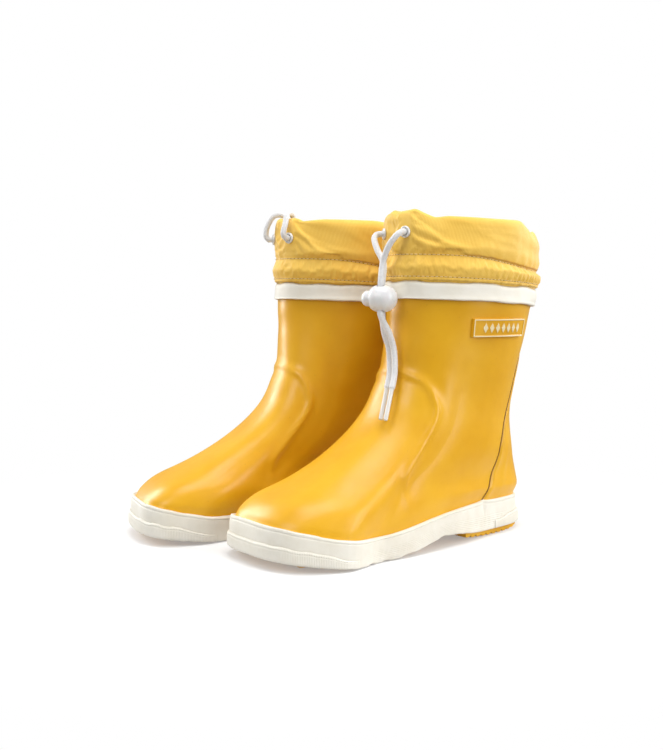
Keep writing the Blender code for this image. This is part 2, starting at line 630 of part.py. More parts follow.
def left_drawstring():
    """Hangs down the front of the boot, through the lock, with both tails below it."""
    side = "left"
    lock = np.array(LEFT_LOCK)
    button = np.array(LEFT_BUTTON)
    beside = CORD / 2 + 0.1
    in_lock = np.array((0.6, 0.8, 0.0)) * beside
    in_tails = np.array((1.0, 0.1, 0.0)) * (beside + 0.6)
    drop = np.array((0.0, 0.0, 11.0))
    outer = [eyelet_exit(side, EYELET_OUTER_ANGLE, 2.2), (10.7, 115.2, 209.2), (9.4, 118.6, 206.2),
             (5.0, 120.8, 199.5), (0.9, 121.6, 190.0)]
    inner = [eyelet_exit(side, EYELET_INNER_ANGLE, 2.2), (-17.2, 112.6, 209.0), (-15.6, 115.6, 205.8),
             (-10.6, 117.2, 199.0), (-3.8, 117.2, 189.0)]
    tail = [(1.0, 118.2, 143.0), (1.4, 114.4, 131.6), (3.6, 115.6, 116.5), (6.5, 120.4, 106.4)]
    for name, start, sign in (("outer", outer, 1.0), ("inner", inner, -1.0)):
        at = lock + sign * in_lock
        below = [np.array(p) + sign * in_tails for p in tail]
        drawstring_end(side, name, start + [at + drop, at, at - drop] + below)
    cord_lock(side, lock, (0, 0, 1), button)


def right_drawstring():
    """Passes over the collar's top edge, so that the lock and the tails hang inside the shaft."""
    side = "right"
    lock = np.array(RIGHT_LOCK)
    drop = np.array((0.0, 0.0, 12.0))
    for name, sign, degrees in (("outer", 1.0, EYELET_OUTER_ANGLE), ("inner", -1.0, EYELET_INNER_ANGLE)):
        a = math.radians(degrees)
        at = lock + np.array((sign * (CORD / 2 + 0.1), 0.0, 0.0))
        bulge = 6.0 if name == "outer" else 5.0
        route = [eyelet_exit(side, degrees, 3.0), eyelet_exit(side, degrees, 4.0), skin(9.80, a, 7.2),
                 skin(9.92, a, bulge) + (0, 0, 1.0), skin(10.0, a * 0.9, 1.0) + (0, 0, 4.4),
                 skin(10.0, a * 0.7, -6.5) + (0, 0, 4.2), skin(9.9, a * 0.45, -13.0),
                 at + drop * 1.7, at + drop * 0.9, at, at - drop, at - drop * 2.4, at - drop * 3.2]
        drawstring_end(side, name, route)
    cord_lock(side, lock, (0, 0, 1), RIGHT_BUTTON)


def carry(side, lock_point, button_direction, swing_point):
    """Empties on the joints' axes: the boot, its drawstring's swing, its lock and the lock's button."""
    fixed = [thing.name for thing in BOOTS.objects if thing.name.startswith(side + "_")]
    lock = place(side, np.array(lock_point))
    button = place_direction(side, button_direction)
    eyelets = [place(side, eyelet_frame(side, a)[0]) for a in (EYELET_OUTER_ANGLE, EYELET_INNER_ANGLE)]
    swing = place(side, np.array(swing_point)) if swing_point else (eyelets[0] + eyelets[1]) / 2
    along = (eyelets[1] - eyelets[0]).normalized()
    up = Vector((0.0, 0.0, 1.0))
    lock_nodes = [f"{side}_cord_lock_body", f"{side}_cord_lock_spring"]
    button_nodes = [f"{side}_cord_lock_button"]
    cord_nodes = [f"{side}_{kind}_{end}" for kind in ("drawstring", "aglet") for end in ("outer", "inner")]
    moving = lock_nodes + button_nodes + cord_nodes
    ground = place(side, np.array((0.0, FOOT_CENTRE, 0.0)))
    boot_empty = pivot(f"{side}_boot", ground, up, None, [name for name in fixed if name not in moving])
    swing_empty = pivot(f"{side}_swing_axis", swing, along, boot_empty, cord_nodes)
    lock_empty = pivot(f"{side}_lock_axis", lock, up, swing_empty, lock_nodes)
    pivot(f"{side}_button_axis", lock, button, lock_empty, button_nodes)


for old in list(bpy.data.objects):
    bpy.data.objects.remove(old, do_unlink=True)
BOOTS = bpy.data.collections.new("deck_boots")
CUTTERS = bpy.data.collections.new("cutters")
bpy.context.scene.collection.children.link(BOOTS)
bpy.context.scene.collection.children.link(CUTTERS)
for boot_side in ("left", "right"):
    boot(boot_side)
left_drawstring()
right_drawstring()
carry("left", LEFT_LOCK, LEFT_BUTTON, None)
carry("right", RIGHT_LOCK, RIGHT_BUTTON, RIGHT_SWING)
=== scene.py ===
"""Looks of a pair of rubber deck boots with a gathered drawstring collar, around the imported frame.

Each boot is laid out in its own frame, in millimetres: out (towards the outer side of the foot),
forward (from the heel) and up. place() turns those into world metres and mirrors the right boot.
A height on the boot's skin is a level: 0 is the foxing's lower edge, 1 its top, 5 the ankle,
8 and 9 the top band's edges, and 10 the top of the collar. Angle 0 is the front.
"""
import math

import bmesh
import bpy
import numpy as np
from mathutils import Matrix, Vector
from mathutils.kdtree import KDTree


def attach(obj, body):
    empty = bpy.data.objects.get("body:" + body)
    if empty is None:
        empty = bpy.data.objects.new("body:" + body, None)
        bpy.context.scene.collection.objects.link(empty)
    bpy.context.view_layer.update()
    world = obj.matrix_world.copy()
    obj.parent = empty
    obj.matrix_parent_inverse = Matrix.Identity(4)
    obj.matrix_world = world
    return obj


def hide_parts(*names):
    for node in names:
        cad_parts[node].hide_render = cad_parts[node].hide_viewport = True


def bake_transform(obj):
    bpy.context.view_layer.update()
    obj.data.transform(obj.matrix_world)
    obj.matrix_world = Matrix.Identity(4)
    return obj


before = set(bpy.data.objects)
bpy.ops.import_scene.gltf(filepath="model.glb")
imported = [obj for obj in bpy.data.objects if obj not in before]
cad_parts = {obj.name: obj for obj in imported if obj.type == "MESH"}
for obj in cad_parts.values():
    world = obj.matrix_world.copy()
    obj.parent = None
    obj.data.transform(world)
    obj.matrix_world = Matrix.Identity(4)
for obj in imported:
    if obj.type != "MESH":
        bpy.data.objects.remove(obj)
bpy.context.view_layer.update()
MM = 0.001
SHARP = math.radians(40)        # turned and cut pieces keep edges above this angle crisp

# ---------------------------------------------------------------- the frame's dimensions, mm
FOOT_CENTRE = 110.0
STANDS = {"left": (58.6, 7.8, 0.0), "right": (-45.6, -16.8, -13.5)}     # x, y, turn in degrees
SECTIONS = np.array([
    (222.0, 10.4, -3.0, 3.8, 44.0, 41.0, 1.00),        # 0 lower edge of the white foxing
    (220.0, 34.8, -1.0, 24.0, 44.0, 40.5, 1.00),      # 1 upper edge of the foxing
    (207.2, 42.5, -2.0, 31.5, 41.0, 39.5, 0.90),
    (183.0, 46.8, 1.0, 44.0, 36.5, 34.5, 0.65),
    (134.0, 74.5, 6.5, 58.0, 36.5, 34.5, 0.50),
    (113.0, 110.0, 11.0, 82.0, 35.0, 35.5, 0.30),     # 5 ankle
    (108.5, 141.0, 8.5, 105.0, 37.0, 37.5, 0.10),
    (108.5, 158.0, -0.5, 136.5, 40.0, 40.0, 0.00),
    (108.5, 166.0, -6.0, 160.5, 42.5, 42.0, 0.00),    # 8 lower edge of the top band
    (110.0, 176.5, -12.0, 171.0, 43.2, 42.3, 0.00),   # 9 upper edge of the top band
    (110.0, 223.0, -15.0, 217.0, 43.2, 42.3, 0.00),   # 10 top of the collar
])
OUTLINE_STEPS = np.linspace(0, 1, 41)
OUTLINE_AT = (0.0, 0.2, 0.4, 0.66, 0.85, 1.0)
OUTLINE_OUTER = (0.82, 0.72, 0.79, 0.92, 1.28, 1.40)
OUTLINE_INNER = (0.82, 0.76, 0.74, 0.98, 1.19, 1.31)
FRONT_ROUNDNESS, BACK_ROUNDNESS = 2.95, 2.1
TOE_TOWARDS_INNER = 14.0
BALL_AT, BALL_SPAN, ARCH_AT, ARCH_SPAN = 0.736, 0.29, 0.43, 0.11
BALL_DIP_TOP, BALL_DIP_BOTTOM, ARCH_RISE = 15.5, 8.2, 4.6
TOP_RISE = 47.0                # mm of height per level above the collar's top
FOXING, RUBBER, CLEAR = 2.2, 2.2, 0.3
SOLE_INTO_FOXING, SOLE, PLATE_GAP = 5.0, 3.8, 2.0
FOOTBED_TOP, FOOTBED = 15.4, 4.0
HEEL_BARS = [4.0 + 6.4 * k for k in range(11)]
FORE_BARS = [118.0 + 12.0 * k for k in range(8)]
HEEL_BAR_INSET, FORE_BAR_INSET = 3.2, 9.0
CORD, PLAIT, AGLET, AGLET_LENGTH = 4.2, 0.19, 3.0, 23.0
EYELET_LEVEL, EYELETS = 9.74, {"outer": 12.0, "inner": -20.0}
BADGE_CENTRE, BADGE_SIZE = (50.5, 146.6), (48.0, 12.6)
LOCKS = {"left": ((0.5, 122.4, 166.0), (-0.8, 0.6, 0.0)),
         "right": ((0.0, 86.0, 186.0), (0.0, -1.0, 0.0))}


# ---------------------------------------------------------------- curves and shares
def catmull_rom(p0, p1, p2, p3, t):
    return 0.5 * (2 * p1 + (p2 - p0) * t + (2 * p0 - 5 * p1 + 4 * p2 - p3) * t * t
                  + (3 * p1 - p0 - 3 * p2 + p3) * t ** 3)


def eased(x):
    x = np.clip(x, 0.0, 1.0)
    return x * x * (3 - 2 * x)


def bell(x, centre, span):
    return np.exp(-((x - centre) / span) ** 2)


def run_along(points):
    """How far along a row of points each one lies, from 0 at the first."""
    return np.concatenate(([0.0], np.cumsum(np.linalg.norm(np.diff(points, axis=0), axis=1))))


def resampled(at, run, points):
    """Points at the distances at along a row of points whose own distances are run."""
    return np.stack([np.interp(at, run, points[:, k]) for k in range(points.shape[1])], axis=-1)


def side_angle(angle):
    """How far round from the front, on either side, in radians."""
    return np.abs((angle + math.pi) % (2 * math.pi) - math.pi)


def between_sides(angle, start, start_span, end, end_span):
    """1 from start to end round both sides, in degrees, eased over spans in radians."""
    away = side_angle(angle)
    return eased((away - math.radians(start)) / start_span) * eased((math.radians(end) - away) / end_span)


def as_pair(level, angle):
    return np.broadcast_arrays(np.asarray(level, float), np.asarray(angle, float))


# ---------------------------------------------------------------- the skin of the boot
def spline_column(column, level):
    """Catmull-Rom values of a column of SECTIONS at an array of levels."""
    last = len(SECTIONS) - 1
    i = np.clip(np.floor(level).astype(int), 0, last - 1)
    t = level - i
    p1, p2 = SECTIONS[i, column], SECTIONS[i + 1, column]
    p0 = SECTIONS[np.maximum(i - 1, 0), column]
    p0 = np.where(i == 0, 2 * p1 - p2, np.where(i == 1, p1 - (p2 - p1) * 0.3, p0))
    p3 = np.where(i + 2 <= last, SECTIONS[np.minimum(i + 2, last), column], 2 * p2 - p1)
    return catmull_rom(p0, p1, p2, p3, t)


def outline_samples(factors):
    at = OUTLINE_STEPS
    k = np.clip(np.searchsorted(OUTLINE_AT, at, side="right") - 1, 0, len(OUTLINE_AT) - 2)
    low, high = np.array(OUTLINE_AT)[k], np.array(OUTLINE_AT)[k + 1]
    t = eased((at - low) / (high - low))
    return np.array(factors)[k] * (1 - t) + np.array(factors)[k + 1] * t


OUTLINES = (outline_samples(OUTLINE_OUTER), outline_samples(OUTLINE_INNER))


def wall(level, angle):
    """Points of the skin, in a boot's own millimetres, for arrays of levels and angles."""
    level, angle = as_pair(level, angle)
    front, front_up, back, back_up, outer, inner, foot = [spline_column(c, level) for c in range(7)]
    c, s = np.cos(angle), np.sin(angle)
    roundness = np.where(c > 0, FRONT_ROUNDNESS, BACK_ROUNDNESS)
    power = 2 / (2 + (roundness - 2) * foot)
    along = (1 + np.copysign(np.abs(c) ** power, c)) / 2
    across = np.abs(s) ** power
    factor = np.where(s >= 0, *(np.interp(along, OUTLINE_STEPS, factors) for factors in OUTLINES))
    width = np.where(s >= 0, outer, inner) * (1 - foot * (1 - factor))
    toe = np.maximum(0.0, (along - 0.45) / 0.55) ** 1.6
    out = np.copysign(width * across, s) - TOE_TOWARDS_INNER * foot * toe
    up = back_up + along * (front_up - back_up)
    ease = np.clip(level, 0.0, 1.0)
    fade = np.maximum(0.0, 1 - np.maximum(level - 1, 0.0) / 2.2) ** 1.5
    dip = BALL_DIP_BOTTOM + (BALL_DIP_TOP - BALL_DIP_BOTTOM) * ease
    rise = ARCH_RISE * (1 - ease)
    up = up + fade * (rise * bell(along, ARCH_AT, ARCH_SPAN) - dip * bell(along, BALL_AT, BALL_SPAN))
    return np.stack((out, back + along * (front - back), up), axis=-1)


def wall_normal(level, angle):
    level, angle = as_pair(level, angle)
    up = wall(np.minimum(level + 0.04, 10.0), angle) - wall(np.maximum(level - 0.04, 0.0), angle)
    around = wall(level, angle + 0.03) - wall(level, angle - 0.03)
    n = np.cross(up, around)
    return n / np.linalg.norm(n, axis=-1, keepdims=True)


def skin(level, angle, distance=0.0):
    """Points at a distance outside the skin."""
    level, angle = as_pair(level, angle)
    base = np.minimum(level, 10.0)
    p = wall(base, angle) + wall_normal(base, angle) * np.asarray(distance, float)[..., None]
    p[..., 2] += np.maximum(level - 10.0, 0.0) * TOP_RISE
    return p


def under(level):
    """How far the rubber upper lies inside the skin: under the foxing and under the band."""
    below = -(FOXING + CLEAR) * (1 - eased((level - 1.06) / 1.14))
    return np.where(level < 2.2, below, -2.6 * np.clip(level - 8.0, 0.0, 1.0))


def place(side, points):
    """World metres of points given in a boot's own millimetres."""
    x0, y0, turn = STANDS[side]
    p = np.asarray(points, float)
    x = p[..., 0] if side == "left" else -p[..., 0]
    y = FOOT_CENTRE - p[..., 1]
    c, s = math.cos(math.radians(turn)), math.sin(math.radians(turn))
    return np.stack((x0 + x * c - y * s, y0 + x * s + y * c, p[..., 2]), axis=-1) * MM


def place_direction(side, d):
    v = place(side, np.array(d, float)) - place(side, np.zeros(3))
    return v / np.linalg.norm(v)


def ripple(angle, low, high, seed):
    """A closed, irregular wave round the boot, made of low to high whole waves, about -1 to 1."""
    rng = np.random.default_rng(seed)
    total = np.zeros_like(angle)
    for waves in range(low, high + 1):
        total = total + rng.uniform(0.3, 1.0) * np.cos(waves * angle + rng.uniform(0, 2 * math.pi))
    return np.tanh(total / math.sqrt(0.25 * (high - low + 1)))


# ---------------------------------------------------------------- mesh helpers
def finish_piece(thing, body, replaced=()):
    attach(thing, body)
    if replaced:
        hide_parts(*replaced)
    return thing


def linked(name, data):
    thing = bpy.data.objects.new(name, data)
    bpy.context.scene.collection.objects.link(thing)
    return thing


def new_piece(name, mesh, material):
    mesh.materials.append(MATERIALS[material])
    mesh.shade_smooth()
    return linked(name, mesh)


def mesh_from(bm, name):
    mesh = bpy.data.meshes.new(name)
    bm.to_mesh(mesh)
    bm.free()
    return mesh


def thicken(thing, thickness):
    """Gives a sheet its thickness in mm, inwards from the face that it has."""
    solid = thing.modifiers.new("thickness", "SOLIDIFY")
    solid.thickness = thickness * MM
    solid.offset = -1.0


def grid_quads(rows, cols, cells):
    """The quads between rows of cols points, cells of them to a row."""
    k = np.arange(cells)
    j = (k + 1) % cols
    low = (np.arange(rows - 1) * cols)[:, None]
    return np.stack((low + k, low + j, low + cols + j, low + cols + k), axis=-1).reshape(-1, 4)


def grid_piece(side, name, points, material, around=True, thickness=0.0):
    """A fine sheet through rows of points, outer face given, thickened inwards; its UVs are metres."""
    rows, cols = points.shape[:2]
    world = place(side, points)
    cells = cols if around else cols - 1
    quads = grid_quads(rows, cols, cells)
    ring = np.concatenate((world, world[:, :1]), axis=1) if around else world
    run_u, run_v = run_along(ring[rows // 2]), run_along(world[:, 0])
    u0, u1, v0, v1 = [np.broadcast_to(run, (rows - 1, cells)) for run in
                      (run_u[:cells], run_u[1:cells + 1], run_v[:-1, None], run_v[1:, None])]
    corners = [np.stack(corner, -1) for corner in ((u0, v0), (u1, v0), (u1, v1), (u0, v1))]
    uv = np.stack(corners, axis=2).reshape(-1, 4, 2)
    if side == "right":
        quads, uv = quads[:, ::-1], uv[:, ::-1]
    mesh = bpy.data.meshes.new(name)
    mesh.from_pydata(world.reshape(-1, 3).tolist(), [], quads.tolist())
    mesh.uv_layers.new(name="metres").data.foreach_set("uv", uv.reshape(-1))
    thing = new_piece(name, mesh, material)
    if thickness:
        thicken(thing, thickness)
    return thing


def ring_angles(count):
    return np.linspace(0, 2 * math.pi, count, endpoint=False)


def loop_piece(side, name, levels, distances, angles, material, around=True):
    """A closed cross-section, given as arrays of levels and distances, swept round the boot."""
    points = skin(levels, angles, distances)
    points = np.concatenate((points, points[:1]), axis=0)
    thing = grid_piece(side, name, points, material, around)
    clean_mesh(thing, cap=not around)
    return thing


def clean_mesh(thing, weld=1e-7, cap=False, outwards=False):
    """Welds a closed form's last row onto its first, and caps the open ends of a strip."""
    bm = bmesh.new()
    bm.from_mesh(thing.data)
    bmesh.ops.remove_doubles(bm, verts=bm.verts, dist=weld)
    if cap:
        bmesh.ops.holes_fill(bm, edges=[e for e in bm.edges if e.is_boundary])
    if outwards:
        bmesh.ops.recalc_face_normals(bm, faces=bm.faces)
    bm.to_mesh(thing.data)
    bm.free()
    if cap or not outwards:
        thing.data.shade_smooth()


def axis_matrix(origin, axis):
    turn = Vector(axis).to_track_quat("Z", "Y").to_matrix().to_4x4()
    return Matrix.Translation(Vector(origin)) @ turn


def lathe(name, profile, origin, axis, material, steps=64):
    """A turned form: (radius, height) pairs in mm along an axis, from its front face to its back."""
    bm = bmesh.new()
    rings = []
    for radius, height in profile:
        if radius == 0.0:
            rings.append([bm.verts.new((0.0, 0.0, height * MM))])
        else:
            angles = [2 * math.pi * k / steps for k in range(steps)]
            rings.append([bm.verts.new((radius * math.cos(a) * MM, radius * math.sin(a) * MM, height * MM))
                          for a in angles])
    for high, low in zip(rings, rings[1:]):
        for k in range(steps):
            j = (k + 1) % steps
            corners = [low[k % len(low)], low[j % len(low)], high[j % len(high)], high[k % len(high)]]
            bm.faces.new(list(dict.fromkeys(corners)))
    bmesh.ops.recalc_face_normals(bm, faces=bm.faces)
    bm.transform(axis_matrix(origin, axis))
    mesh = mesh_from(bm, name)
    thing = new_piece(name, mesh, material)
    mesh.set_sharp_from_angle(angle=SHARP)
    return thing


def cut_away(thing, cutters):
    """Booleans applied for good, so that nothing but the result stays in the scene."""
    for cutter in cutters:
        step = thing.modifiers.new("cut", "BOOLEAN")
        step.object = cutter
    graph = bpy.context.evaluated_depsgraph_get()
    mesh = bpy.data.meshes.new_from_object(thing.evaluated_get(graph))
    thing.modifiers.clear()
    thing.data = mesh
    for cutter in cutters:
        bpy.data.objects.remove(cutter, do_unlink=True)
    mesh.shade_smooth()
    mesh.set_sharp_from_angle(angle=SHARP)


def smooth_route(points, step):
    """Points of a Catmull-Rom curve through the given ones, a step apart, in mm."""
    pts = [np.array(p, float) for p in points]
    pts = [2 * pts[0] - pts[1]] + pts + [2 * pts[-1] - pts[-2]]
    t = np.linspace(0, 1, 24, endpoint=False)[:, None]
    dense = [catmull_rom(*four, t) for four in zip(pts, pts[1:], pts[2:], pts[3:])]
    dense = np.concatenate(dense + [pts[-2][None]])
    run = run_along(dense)
    return resampled(np.linspace(0, run[-1], max(8, int(round(run[-1] / step)) + 1)), run, dense)


# ---------------------------------------------------------------- materials
class Shader:
    """A Principled material under construction: add() makes a node and links what is passed to it."""

    def __init__(self, name, colour, roughness, **constants):
        self.material = bpy.data.materials.new(name)
        self.material.use_nodes = True
        self.tree = self.material.node_tree
        self.surface = self.tree.nodes["Principled BSDF"]
        self.surface.inputs["Base Color"].default_value = (*colour, 1.0)
        self.surface.inputs["Roughness"].default_value = roughness
        for socket, value in constants.items():
            self.surface.inputs[socket.replace("_", " ")].default_value = value

    def add(self, kind, settings=None, **inputs):
        node = self.tree.nodes.new(kind)
        for key, value in (settings or {}).items():
            setattr(node, key, value)
        for socket, value in inputs.items():
            target = node.inputs[int(socket[1:]) if socket[1:].isdigit() else socket.replace("_", " ")]
            if isinstance(value, bpy.types.NodeSocket):
                self.tree.links.new(value, target)
            else:
                target.default_value = value
        return node

    def where(self, kind="Object"):
        return self.add("ShaderNodeTexCoord").outputs[kind]

    def noise(self, scale, detail=3.0, roughness=0.5, where=None):
        return self.add("ShaderNodeTexNoise", Vector=where or self.where(), Scale=scale, Detail=detail,
                        Roughness=roughness).outputs["Fac"]

    def waves(self, direction, where, scale, **more):
        settings = {"wave_type": "BANDS", "bands_direction": direction}
        return self.add("ShaderNodeTexWave", settings, Vector=where, Scale=scale, **more).outputs["Fac"]

    def cells(self, scale):
        return self.add("ShaderNodeTexVoronoi", Vector=self.where(), Scale=scale).outputs["Distance"]

    def between(self, value, low, high, to_low=0.0, to_high=1.0):
        return self.add("ShaderNodeMapRange", i0=value, i1=low, i2=high, i3=to_low, i4=to_high).outputs[0]

    def maths(self, operation, a, b=0.0):
        return self.add("ShaderNodeMath", {"operation": operation}, i0=a, i1=b).outputs[0]

    def mix_colour(self, factor, a, b):
        node = self.add("ShaderNodeMix", {"data_type": "RGBA"}, i0=factor)
        for socket, value in ((node.inputs[6], a), (node.inputs[7], b)):
            if isinstance(value, bpy.types.NodeSocket):
                self.tree.links.new(value, socket)
            else:
                socket.default_value = (*value, 1.0)
        return node.outputs[2]

    def tones(self, factor, a, b):
        """The base colour, from a to b by the factor."""
        self.tree.links.new(self.mix_colour(factor, a, b), self.surface.inputs["Base Color"])

    def roughness(self, value):
        self.tree.links.new(value, self.surface.inputs["Roughness"])

    def bump(self, height, distance, below=None):
        """Adds relief, in mm at full height; below is an earlier bump that it rides on."""
        settings = {"Height": height, "Distance": distance * MM, "Strength": 1.0}
        node = self.add("ShaderNodeBump", **settings)
        if below is not None:
            self.tree.links.new(below, node.inputs["Normal"])
        self.tree.links.new(node.outputs[0], self.surface.inputs["Normal"])
        return node.outputs[0]


def yellow_rubber():
    """Hand-laid natural rubber: satin, slightly uneven, with a few tiny specks."""
    light, dark = (0.79, 0.425, 0.012), (0.73, 0.365, 0.005)
    s = Shader("yellow_rubber", light, 0.36, Coat_Weight=0.12, Coat_Roughness=0.25, Specular_IOR_Level=0.4)
    patches = s.between(s.noise(26.0, 4.0, 0.55), 0.35, 0.65)
    base = s.mix_colour(patches, dark, light)
    specks = s.between(s.noise(620.0, 1.0), 0.76, 0.80)
    s.tones(s.maths("MULTIPLY", specks, 0.35), base, (0.45, 0.20, 0.01))
    s.roughness(s.between(s.noise(90.0, 4.0, 0.6), 0.3, 0.7, 0.31, 0.42))
    soft = s.bump(s.noise(55.0, 2.0), 0.3)
    s.bump(s.noise(1500.0, 3.0), 0.035, soft)
    return s.material


def chalky_rubber(name):
    """Off-white foxing rubber, its tone varying at random; also returns its soft relief."""
    s = Shader(name, (0.84, 0.82, 0.77), 0.5, Specular_IOR_Level=0.45)
    s.tones(s.between(s.noise(70.0, 5.0, 0.6), 0.35, 0.7), (0.80, 0.77, 0.69), (0.74, 0.70, 0.60))
    return s, s.bump(s.noise(110.0, 3.0), 0.12)


def white_rubber():
    s, soft = chalky_rubber("white_rubber")
    s.roughness(s.between(s.noise(150.0, 4.0), 0.3, 0.7, 0.48, 0.62))
    s.bump(s.noise(1800.0, 3.0), 0.03, soft)
    return s.material


def ribbed_rubber():
    """The toe guard's rubber: fine upright ribs round its face."""
    s, soft = chalky_rubber("ribbed_white_rubber")
    s.bump(s.waves("X", s.where("UV"), 300.0, Distortion=0.0), 0.12, soft)
    return s.material


def collar_nylon():
    """Yellow nylon twill: fine diagonal ribs, a soft sheen and slight shade changes thread by thread."""
    s = Shader("collar_nylon", (0.94, 0.58, 0.13), 0.62, Sheen_Weight=0.4, Sheen_Roughness=0.4,
               Specular_IOR_Level=0.3)
    uv = s.where("UV")
    turned = s.add("ShaderNodeMapping", Vector=uv, Rotation=(0.0, 0.0, math.radians(9)))
    twill = s.waves("X", turned.outputs[0], 330.0, Distortion=0.5, Detail=1.0, Detail_Scale=2.0)
    threads = s.waves("Y", uv, 720.0, Distortion=0.6)
    weave = s.maths("ADD", s.maths("MULTIPLY", twill, 0.7), s.maths("MULTIPLY", threads, 0.3))
    tone = s.mix_colour(s.between(s.noise(40.0, 4.0), 0.3, 0.7), (0.91, 0.57, 0.09), (0.95, 0.63, 0.125))
    s.tones(s.between(weave, 0.0, 0.5), (0.84, 0.47, 0.055), tone)
    crease = s.bump(s.noise(140.0, 3.0, 0.6), 0.2)
    s.bump(weave, 0.10, crease)
    return s.material


def thread():
    s = Shader("yellow_thread", (0.94, 0.74, 0.34), 0.6, Sheen_Weight=0.2)
    twist = s.waves("DIAGONAL", s.where(), 1400.0)
    s.tones(twist, (0.86, 0.60, 0.22), (0.96, 0.79, 0.42))
    s.bump(twist, 0.1)
    return s.material


def white_cord():
    """Knitted polyester cord: its plait is modelled, the fibres are here."""
    s = Shader("white_cord", (0.86, 0.86, 0.86), 0.75, Sheen_Weight=0.3, Sheen_Roughness=0.5)
    s.tones(s.between(s.noise(900.0, 3.0), 0.3, 0.7), (0.70, 0.70, 0.71), (0.80, 0.80, 0.80))
    s.bump(s.noise(2600.0, 3.0, 0.7), 0.12)
    return s.material


def white_plastic():
    s = Shader("white_plastic", (0.86, 0.86, 0.86), 0.3, Subsurface_Weight=0.08, Subsurface_Scale=0.002,
               Coat_Weight=0.1)
    s.tones(s.between(s.noise(120.0, 3.0), 0.35, 0.7), (0.78, 0.78, 0.785), (0.73, 0.73, 0.735))
    s.roughness(s.between(s.noise(300.0, 4.0), 0.3, 0.7, 0.24, 0.38))
    s.bump(s.noise(1200.0, 2.0), 0.01)
    return s.material


def clear_plastic():
    s = Shader("clear_plastic", (0.88, 0.88, 0.86), 0.16, Transmission_Weight=0.25, IOR=1.45)
    s.tones(s.noise(200.0, 2.0), (0.90, 0.90, 0.88), (0.84, 0.84, 0.81))
    s.bump(s.noise(500.0, 3.0), 0.05)
    return s.material


def painted_metal():
    s = Shader("painted_metal", (0.84, 0.84, 0.83), 0.28, Metallic=0.15, Coat_Weight=0.3)
    worn = s.between(s.noise(700.0, 4.0, 0.7), 0.66, 0.72)
    s.tones(worn, (0.76, 0.76, 0.755), (0.50, 0.49, 0.47))
    s.bump(s.noise(900.0, 2.0), 0.02)
    return s.material


def spring_steel():
    s = Shader("spring_steel", (0.6, 0.6, 0.6), 0.3, Metallic=1.0)
    s.roughness(s.between(s.noise(800.0, 3.0), 0.3, 0.7, 0.2, 0.4))
    return s.material


def grey_tab():
    """The heel's small dark rubber label, with a fine diamond grain."""
    s = Shader("grey_tab", (0.09, 0.085, 0.08), 0.55)
    grain = s.cells(1300.0)
    s.tones(grain, (0.06, 0.055, 0.05), (0.13, 0.12, 0.11))
    s.bump(grain, 0.08)
    return s.material


# A dark brown that paints the shadow along the heel counter's front edge.
def painted_seam_shadow():
    s = Shader("seam_shadow", (0.16, 0.065, 0.008), 0.7)
    s.tones(s.noise(400.0, 3.0), (0.12, 0.045, 0.005), (0.24, 0.10, 0.012))
    return s.material


# A dark brownish yellow that paints the shade in the collar's seam grooves and in the gaps between stitches.
def painted_seam_shade():
    s = Shader("painted_seam_shade", (0.40, 0.20, 0.025), 0.9)
    s.tones(s.noise(600.0, 3.0), (0.34, 0.16, 0.02), (0.50, 0.27, 0.04))
    return s.material


def cream_print():
    """The badge's raised cream faces."""
    s = Shader("badge_cream", (0.86, 0.76, 0.50), 0.5)
    s.tones(s.noise(500.0, 4.0), (0.86, 0.76, 0.50), (0.78, 0.63, 0.32))
    s.bump(s.noise(1500.0, 3.0), 0.03)
    return s.material


def lining_cotton():
    """Natural cotton jersey: fine upright wales."""
    s = Shader("lining_cotton", (0.72, 0.64, 0.48), 0.9, Sheen_Weight=0.2)
    wales = s.waves("X", s.where("UV"), 420.0, Distortion=0.8, Detail=2.0)
    courses = s.waves("Y", s.where("UV"), 520.0, Distortion=0.8)
    knit = s.maths("MULTIPLY", wales, courses)
    s.tones(knit, (0.60, 0.52, 0.37), (0.79, 0.71, 0.55))
    s.bump(knit, 0.14)
    return s.material


def footbed_felt():
    s = Shader("footbed_felt", (0.66, 0.58, 0.42), 0.95, Sheen_Weight=0.25)
    s.tones(s.noise(500.0, 6.0, 0.7), (0.50, 0.43, 0.31), (0.74, 0.66, 0.50))
    s.bump(s.noise(1100.0, 4.0, 0.7), 0.25)
    return s.material


def foam():
    s = Shader("foam", (0.25, 0.25, 0.27), 0.9)
    cells = s.cells(900.0)
    s.tones(cells, (0.18, 0.18, 0.20), (0.32, 0.32, 0.34))
    s.bump(cells, 0.15)
    return s.material


def board():
    s = Shader("board", (0.45, 0.36, 0.25), 0.9)
    s.tones(s.noise(260.0, 6.0, 0.75), (0.36, 0.28, 0.19), (0.52, 0.43, 0.31))
    s.bump(s.noise(700.0, 4.0), 0.08)
    return s.material


MATERIALS = {make.__name__: make() for make in (
    yellow_rubber, white_rubber, ribbed_rubber, collar_nylon, thread, white_cord, white_plastic,
    clear_plastic, painted_metal, spring_steel, grey_tab, painted_seam_shadow, painted_seam_shade, cream_print, lining_cotton,
    footbed_felt, foam, board)}


# ---------------------------------------------------------------- sole and foxing
CREASE = math.radians(120.3)         # where the heel counter's seam meets the foxing
FOXING_ROWS, ARCH_RIB_PITCH = 64, 0.062
FOXING_BACK_LEVELS = (1.035, 1.03, 0.96, 0.1, -0.01)        # over its top edge and down its back
FOXING_BACK_DISTANCES = (-1.0, -2.4, -2.9, -2.2, -1.3)      # mm
HEEL_END = 80.0                 # how far forward the tread is the heel's


